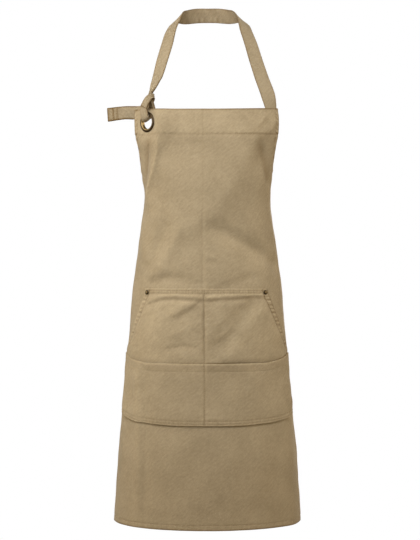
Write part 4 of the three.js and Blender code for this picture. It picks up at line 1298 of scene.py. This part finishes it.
path, path_station = smooth_path(strap_stations[:, :3], 2.4)
path_run = np.concatenate([[0], np.cumsum(np.linalg.norm(np.diff(path, axis=0), axis=1))])
along = np.gradient(path, axis=0)
along /= np.linalg.norm(along, axis=1, keepdims=True)
looks = strap_stations[:, 3:6] / np.linalg.norm(strap_stations[:, 3:6], axis=1, keepdims=True)
facing = np.stack([eased(looks[:, k], path_station) for k in range(3)], -1)
facing -= np.sum(facing * along, axis=1, keepdims=True) * along
facing /= np.linalg.norm(facing, axis=1, keepdims=True)
sideways = np.cross(along, facing)
strap_width = eased(strap_stations[:, 6], path_station)
strap_thick = eased(strap_stations[:, 7], path_station)
print(f"strap length {path_run[-1]:.0f} mm in {len(path)} rings")

# %% Pleats and ripples of the strap
STRAP_EDGE = np.array([0, 0.35, 1.0, 1.8, 2.6, 3.4, 5.0, 7.5, 10.0, 12.7])  # in from the strap's edge
STRAP_STITCH = 2.6

flat_place = np.concatenate([STRAP_EDGE, [STRAP_WIDTH / 2], STRAP_WIDTH - STRAP_EDGE[::-1]])
from_strap_edge = np.minimum(flat_place, STRAP_WIDTH - flat_place)
round_edge = np.sqrt(1 - (1 - np.clip(from_strap_edge / 1.3, 0, 1)) ** 2) * 0.75 + 0.25
gathered = np.clip(1 - strap_width / STRAP_WIDTH, 0, 1)[:, None]
place_share = (flat_place / STRAP_WIDTH - 0.5)[None, :]
pleat_turn = 2 * math.pi * (2.6 * place_share + 0.012 * path_run[:, None])
sewn_edge = near(from_strap_edge - STRAP_STITCH, 3)[None, :]
edge_ripple = 0.28 * sewn_edge * pucker(path_run[:, None], 9, place_share * 9)
drift = 0.5 * np.sin(path_run / 31.0)[:, None] * (1 - gathered)
at_nape = near(path_run - path_run[np.argmax(path[:, 1])], 62)[:, None]
nape_ripple = at_nape * near(place_share - 0.34, 0.17) * pucker(path_run[:, None], 15, 0.8)
nape_crease = at_nape * np.sin(path_run[:, None] / 6.5 + 5 * place_share) * (0.5 - place_share)
front_pleat = 0.9 * gathered * np.cos(pleat_turn) + edge_ripple + drift * place_share
back_pleat = 0.8 * gathered * np.cos(pleat_turn * 1.15 + 1.9) + edge_ripple + drift * place_share
front_pleat -= 0.8 * nape_ripple + 0.4 * nape_crease
back_pleat -= 0.8 * nape_ripple + 0.4 * nape_crease
print(f"the strap is gathered to {100 * (1 - gathered.max()):.0f} per cent of its width in the knot")

# %% Faces of the strap
half_thick = strap_thick[:, None] / 2 * round_edge[None, :]
stitched = groove(from_strap_edge - STRAP_STITCH, 0.3, 0.9)[None, :]
across_place = place_share * strap_width[:, None]


def strap_face(lift):
    return path[:, None] + across_place[..., None] * sideways[:, None] + lift[..., None] * facing[:, None]


strap_front = strap_face(half_thick + stitched + front_pleat)
strap_back = strap_face(-half_thick - stitched + back_pleat)
strap_flat_across = np.broadcast_to(flat_place, strap_front.shape[:2])
strap_flat_run = np.broadcast_to(path_run[:, None], strap_front.shape[:2])
print("strap lattice:", strap_flat_run.shape)

# %% Painted light and shade of the strap, and its sheet
TAIL_STITCHES = (12, 20)  # two rows across the free tail, from its end

from_tail_end = (path_run[-1] - path_run)[:, None]
at_tail = 1 - smoothstep(from_tail_end, 48, 70)
from_knot_crease = (path_run - np.interp(KNOT_CREASE, path_station, path_run))[:, None]
behind_knot = near(path_station - BEHIND_KNOT, 0.9)[:, None] * smoothstep(place_share, -0.42, -0.28)
# painted shade along the strap's edges, sewn lines and pleat hollows, painted light and shade on its ripples
# and the nape's wrinkles, painted shade in the knot's crease and behind the knot
strap_light_shade = -0.9 * near(from_strap_edge, 1.3) - 0.3 * near(from_strap_edge - STRAP_STITCH, 0.9)
strap_light_shade = strap_light_shade[None, :] + 0.5 * edge_ripple - 0.5 * gathered * np.maximum(-np.cos(pleat_turn), 0)
strap_light_shade += 0.5 * nape_ripple + 0.3 * nape_crease - 1.3 * near(from_knot_crease - 2, 1.5)
strap_light_shade -= 1.2 * behind_knot
tail_lines = sum(near(from_tail_end - line, 1.3) for line in TAIL_STITCHES) + near(from_tail_end, 2)
tail_edges = near(from_strap_edge, 2.6)[None, :]
tail_end = 1 - smoothstep(from_tail_end, 18, 34)
# painted shade over the free tail, darkest at its end, its stitch rows and its edges
strap_light_shade -= at_tail * (0.06 + 0.28 * tail_end + 1.1 * tail_lines + 0.9 * tail_edges)
neck_strap = sheet_mesh(
    "neck_strap_band", strap_front, strap_back, strap_flat_across, strap_flat_run, strap_light_shade
)
strap_build = bmesh.new()
strap_build.from_mesh(neck_strap.data)
bmesh.ops.recalc_face_normals(strap_build, faces=strap_build.faces)
strap_build.to_mesh(neck_strap.data)
strap_build.free()
finish_piece(neck_strap, strap_canvas, "neck_strap")

# %% [markdown]
# ## The waist tie
# Nothing of the tie shows in the photograph, which is taken from the front. It is finished as one plain band
# of the same canvas from waist corner to waist corner, sewn inside the cloth at both ends.

# %% Waist tie
TIE_TOP, TIE_WIDTH, TIE_THICK, TIE_OVERLAP, TIE_GAP = -515.0, 28.0, 2.0, 26.0, 1.0
TIE_STITCH = 2.6

tie_edge = np.array([0, 0.5, 1.4, 2.6, 3.8, 6, 9, 12])
tie_drop = np.concatenate([tie_edge, TIE_WIDTH - tie_edge[::-1]])
tie_height = TIE_TOP - tie_drop
girth_rows = np.arange(len(table_girth))
tie_girth = np.interp(TABLE_TOP - tie_height, girth_rows, table_girth)
middle_girth = float(np.interp(TABLE_TOP - TIE_TOP + TIE_WIDTH / 2, girth_rows, table_girth))
tie_start = SKIRT_HALF_WIDTH - TIE_OVERLAP
right_share = np.linspace((tie_start + TURN) / middle_girth, 1, 60)
left_share = np.linspace(-1, (TURN - tie_start) / middle_girth, 60)[1:]


def round_back(lift):
    """The tie's face: round the right side to the centre back, and on round the left side."""
    sides = []
    for shares in (right_share, left_share):
        distance = np.clip(shares, -0.9999, 0.9999)[None, :] * tie_girth[:, None]
        height = np.broadcast_to(tie_height[:, None], distance.shape)
        x, y = on_section(distance, height)
        out = out_of_section(distance, height)
        spread = np.broadcast_to(lift, distance.shape)
        sides.append(np.stack([x + out[..., 0] * spread, y + out[..., 1] * spread, height], -1))
    return np.concatenate(sides, axis=1)


from_tie_edge = np.minimum(tie_drop, TIE_WIDTH - tie_drop)[:, None]
tie_groove = groove(from_tie_edge - TIE_STITCH, 0.3, 0.9)
tie_near = -CLOTH - TIE_GAP + tie_groove
tie_far = -CLOTH - TIE_GAP - TIE_THICK - tie_groove
tie_outer, tie_inner = round_back(tie_near), round_back(tie_far)
tie_shape = tie_outer.shape[:2]
tie_run = np.concatenate([right_share, left_share + 2]) * middle_girth
# painted shade along the tie's edges
waist_tie = sheet_mesh(
    "waist_tie_band", tie_outer, tie_inner,
    np.broadcast_to(tie_drop[:, None], tie_shape),
    np.broadcast_to(tie_run[None, :], tie_shape),
    np.broadcast_to(-0.5 * near(from_tie_edge, 0.8), tie_shape),
)
finish_piece(waist_tie, strap_canvas, "waist_tie")

# %% [markdown]
# ## Stitches
# Every seam is a row of lock stitches: short lengths of thread that dip into the cloth at both ends. There
# are thousands, all alike and all on a path, so Geometry Nodes places them. The tree turns a row of points
# into a curve, spaces it by the stitch's pitch, sets a small spindle of thread on each point along the curve
# with a little seeded unevenness, and makes the result real. The paths are rows of the lattices themselves,
# so each row of thread lies in its own groove.

# %% Thread material
thread_paint, thread_tree, thread_shader = new_material("khaki_thread")
thread_place = thread_tree.nodes.new("ShaderNodeTexCoord")
thread_tone = noise(thread_tree, thread_place.outputs["Object"], 400, 2)
thread_colour = blend_colour(thread_tree, thread_tone, (0.30, 0.23, 0.135, 1), (0.46, 0.36, 0.23, 1))
thread_tree.links.new(thread_colour, thread_shader.inputs["Base Color"])
thread_fibre = noise(thread_tree, thread_place.outputs["Object"], 2500, 1)
thread_twist = bump(thread_tree, thread_fibre, 0.1 * MM)
thread_tree.links.new(thread_twist.outputs["Normal"], thread_shader.inputs["Normal"])
thread_shader.inputs["Roughness"].default_value = 0.75
print("thread:", thread_paint.name)

# %% Stitch tree
stitch_tree = bpy.data.node_groups.new("lock_stitches", "GeometryNodeTree")
stitch_inputs = {}
stitch_tree.interface.new_socket(name="Geometry", in_out="INPUT", socket_type="NodeSocketGeometry")
for label in ("Pitch", "Stitch Length", "Thread Thickness"):
    socket = stitch_tree.interface.new_socket(name=label, in_out="INPUT", socket_type="NodeSocketFloat")
    stitch_inputs[label] = socket.identifier
stitch_tree.interface.new_socket(name="Geometry", in_out="OUTPUT", socket_type="NodeSocketGeometry")

stitch_in = stitch_tree.nodes.new("NodeGroupInput")
stitch_out = stitch_tree.nodes.new("NodeGroupOutput")
to_curve = stitch_tree.nodes.new("GeometryNodeMeshToCurve")
spaced = stitch_tree.nodes.new("GeometryNodeResampleCurve")
spaced.mode = "LENGTH"
heading = stitch_tree.nodes.new("GeometryNodeInputTangent")
aim = stitch_tree.nodes.new("FunctionNodeAlignRotationToVector")
aim.axis = "X"
spindle = stitch_tree.nodes.new("GeometryNodeMeshUVSphere")
spindle.inputs["Segments"].default_value = 6
spindle.inputs["Rings"].default_value = 5
spindle.inputs["Radius"].default_value = 0.5
smooth = stitch_tree.nodes.new("GeometryNodeSetShadeSmooth")
uneven = stitch_tree.nodes.new("FunctionNodeRandomValue")
uneven.data_type = "FLOAT"
uneven.inputs[2].default_value = 0.88
uneven.inputs[3].default_value = 1.1
uneven.inputs["Seed"].default_value = 7
long_way = stitch_tree.nodes.new("ShaderNodeMath")
long_way.operation = "MULTIPLY"
size = stitch_tree.nodes.new("ShaderNodeCombineXYZ")
place_stitches = stitch_tree.nodes.new("GeometryNodeInstanceOnPoints")
real = stitch_tree.nodes.new("GeometryNodeRealizeInstances")
paint = stitch_tree.nodes.new("GeometryNodeSetMaterial")
paint.inputs["Material"].default_value = thread_paint

wire = stitch_tree.links.new
wire(stitch_in.outputs["Geometry"], to_curve.inputs["Mesh"])
wire(to_curve.outputs["Curve"], spaced.inputs["Curve"])
wire(stitch_in.outputs["Pitch"], spaced.inputs["Length"])
wire(spaced.outputs["Curve"], place_stitches.inputs["Points"])
wire(heading.outputs["Tangent"], aim.inputs["Vector"])
wire(aim.outputs["Rotation"], place_stitches.inputs["Rotation"])
wire(spindle.outputs["Mesh"], smooth.inputs["Geometry"])
wire(smooth.outputs["Geometry"], place_stitches.inputs["Instance"])
wire(stitch_in.outputs["Stitch Length"], long_way.inputs[0])
wire(uneven.outputs[1], long_way.inputs[1])
wire(long_way.outputs[0], size.inputs["X"])
wire(stitch_in.outputs["Thread Thickness"], size.inputs["Y"])
wire(stitch_in.outputs["Thread Thickness"], size.inputs["Z"])
wire(size.outputs["Vector"], place_stitches.inputs["Scale"])
wire(place_stitches.outputs["Instances"], real.inputs["Geometry"])
wire(real.outputs["Geometry"], paint.inputs["Geometry"])
wire(paint.outputs["Geometry"], stitch_out.inputs["Geometry"])
print("stitch tree:", len(stitch_tree.nodes), "nodes")


# %% Sewing a set of rows
def sew(name, rows, pitch=3.7, length=3.0, thread=0.75):
    points = np.concatenate(rows) * MM
    edges, start = [], 0
    for row in rows:
        edges += [(k, k + 1) for k in range(start, start + len(row) - 1)]
        start += len(row)
    mesh = bpy.data.meshes.new(name)
    mesh.from_pydata(points.tolist(), edges, [])
    piece = add_object(name, mesh)
    sewing = piece.modifiers.new("sewing", "NODES")
    sewing.node_group = stitch_tree
    for label, value in (("Pitch", pitch), ("Stitch Length", length), ("Thread Thickness", thread)):
        sewing[stitch_inputs[label]] = value * MM
    piece.update_tag()
    drawn = piece.evaluated_get(bpy.context.evaluated_depsgraph_get())
    plain = bpy.data.meshes.new_from_object(drawn)
    piece.modifiers.clear()
    piece.data = plain
    plain.name = name
    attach(piece, "root")
    print(f"{name}: {len(plain.polygons)} faces")
    return piece


def column_at(steps, distance):
    return int(np.argmin(np.abs(np.asarray(steps) - distance)))


# %% Rows on the main panel
hem_column = column_at(HEM_STEPS, HEM_STITCH)
hem_row = column_at(down, APRON_LENGTH - HEM_STITCH)
band_row = column_at(down, TOP_HEM_DEPTH)
body_rows = []
for face in (body_outer, body_inner):
    body_rows += [
        face[3:hem_row + 1, hem_column],
        face[3:hem_row + 1, -1 - hem_column],
        face[hem_row, hem_column:-hem_column],
        face[band_row, 2:-2],
    ]
body_stitches = sew("apron_body_stitches", body_rows)

# %% Rows on the pockets
SLANT_ROW_END, SEAM_ROW_END = 146, 152  # below the pocket's top, about where the lower pocket hides them

opening_end = column_at(upper_steps, SLANT_ROW_END)
seam_end = column_at(upper_steps, SEAM_ROW_END)
slant = column_at(SLANT_STEPS, SLANT_STITCH)
upper_rows = [upper_outer[column_at(upper_steps, line), 3:-3] for line in TOP_STITCHES]
upper_rows += [upper_outer[3:opening_end, slant], upper_outer[3:opening_end, -1 - slant]]
upper_rows.append(upper_outer[3:seam_end, seam_column(SLANT_STEPS)])
upper_stitches = sew("upper_pocket_stitches", upper_rows)

lower_mouth = column_at(lower_steps, LOWER_TOP_STITCH)
lower_rows = [lower_outer[lower_mouth, 2:-2], lower_outer[2:-1, seam_column(SIDE_STEPS)]]
for line in LOWER_BOTTOM_STITCHES:
    lower_rows.append(lower_outer[column_at(lower_steps, lower_depth - line), 2:-2])
side = column_at(SIDE_STEPS, SIDE_STITCH)
lower_rows += [lower_outer[2:-2, side], lower_outer[2:-2, -1 - side]]
lower_stitches = sew("lower_pocket_stitches", lower_rows)

# %% Rows on the strap and the tie
BIB_ROW = 40  # a row across the strap by the bib's top edge, from the strap's sewn end

strap_column = column_at(flat_place, STRAP_STITCH)
strap_rows = []
for face in (strap_front, strap_back):
    strap_rows += [face[1:-1, strap_column], face[1:-1, -1 - strap_column]]
    for line in TAIL_STITCHES:
        strap_rows.append(face[column_at(path_run, path_run[-1] - line), 2:-2])
    strap_rows.append(face[column_at(path_run, BIB_ROW), 2:-2])
strap_stitches = sew("neck_strap_stitches", strap_rows)

tie_row = column_at(tie_drop, TIE_STITCH)
tie_rows = []
for face in (tie_outer, tie_inner):
    tie_rows += [face[tie_row, 1:-1], face[-1 - tie_row, 1:-1], face[1:-1, 2], face[1:-1, -3]]
tie_stitches = sew("waist_tie_stitches", tie_rows)

# %% [markdown]

# %% [markdown]
# ## Size, and the end
# The finished pieces may stand a little proud of the imported model, as cloth does, but no more.

# %% Finish
bpy.context.view_layer.update()
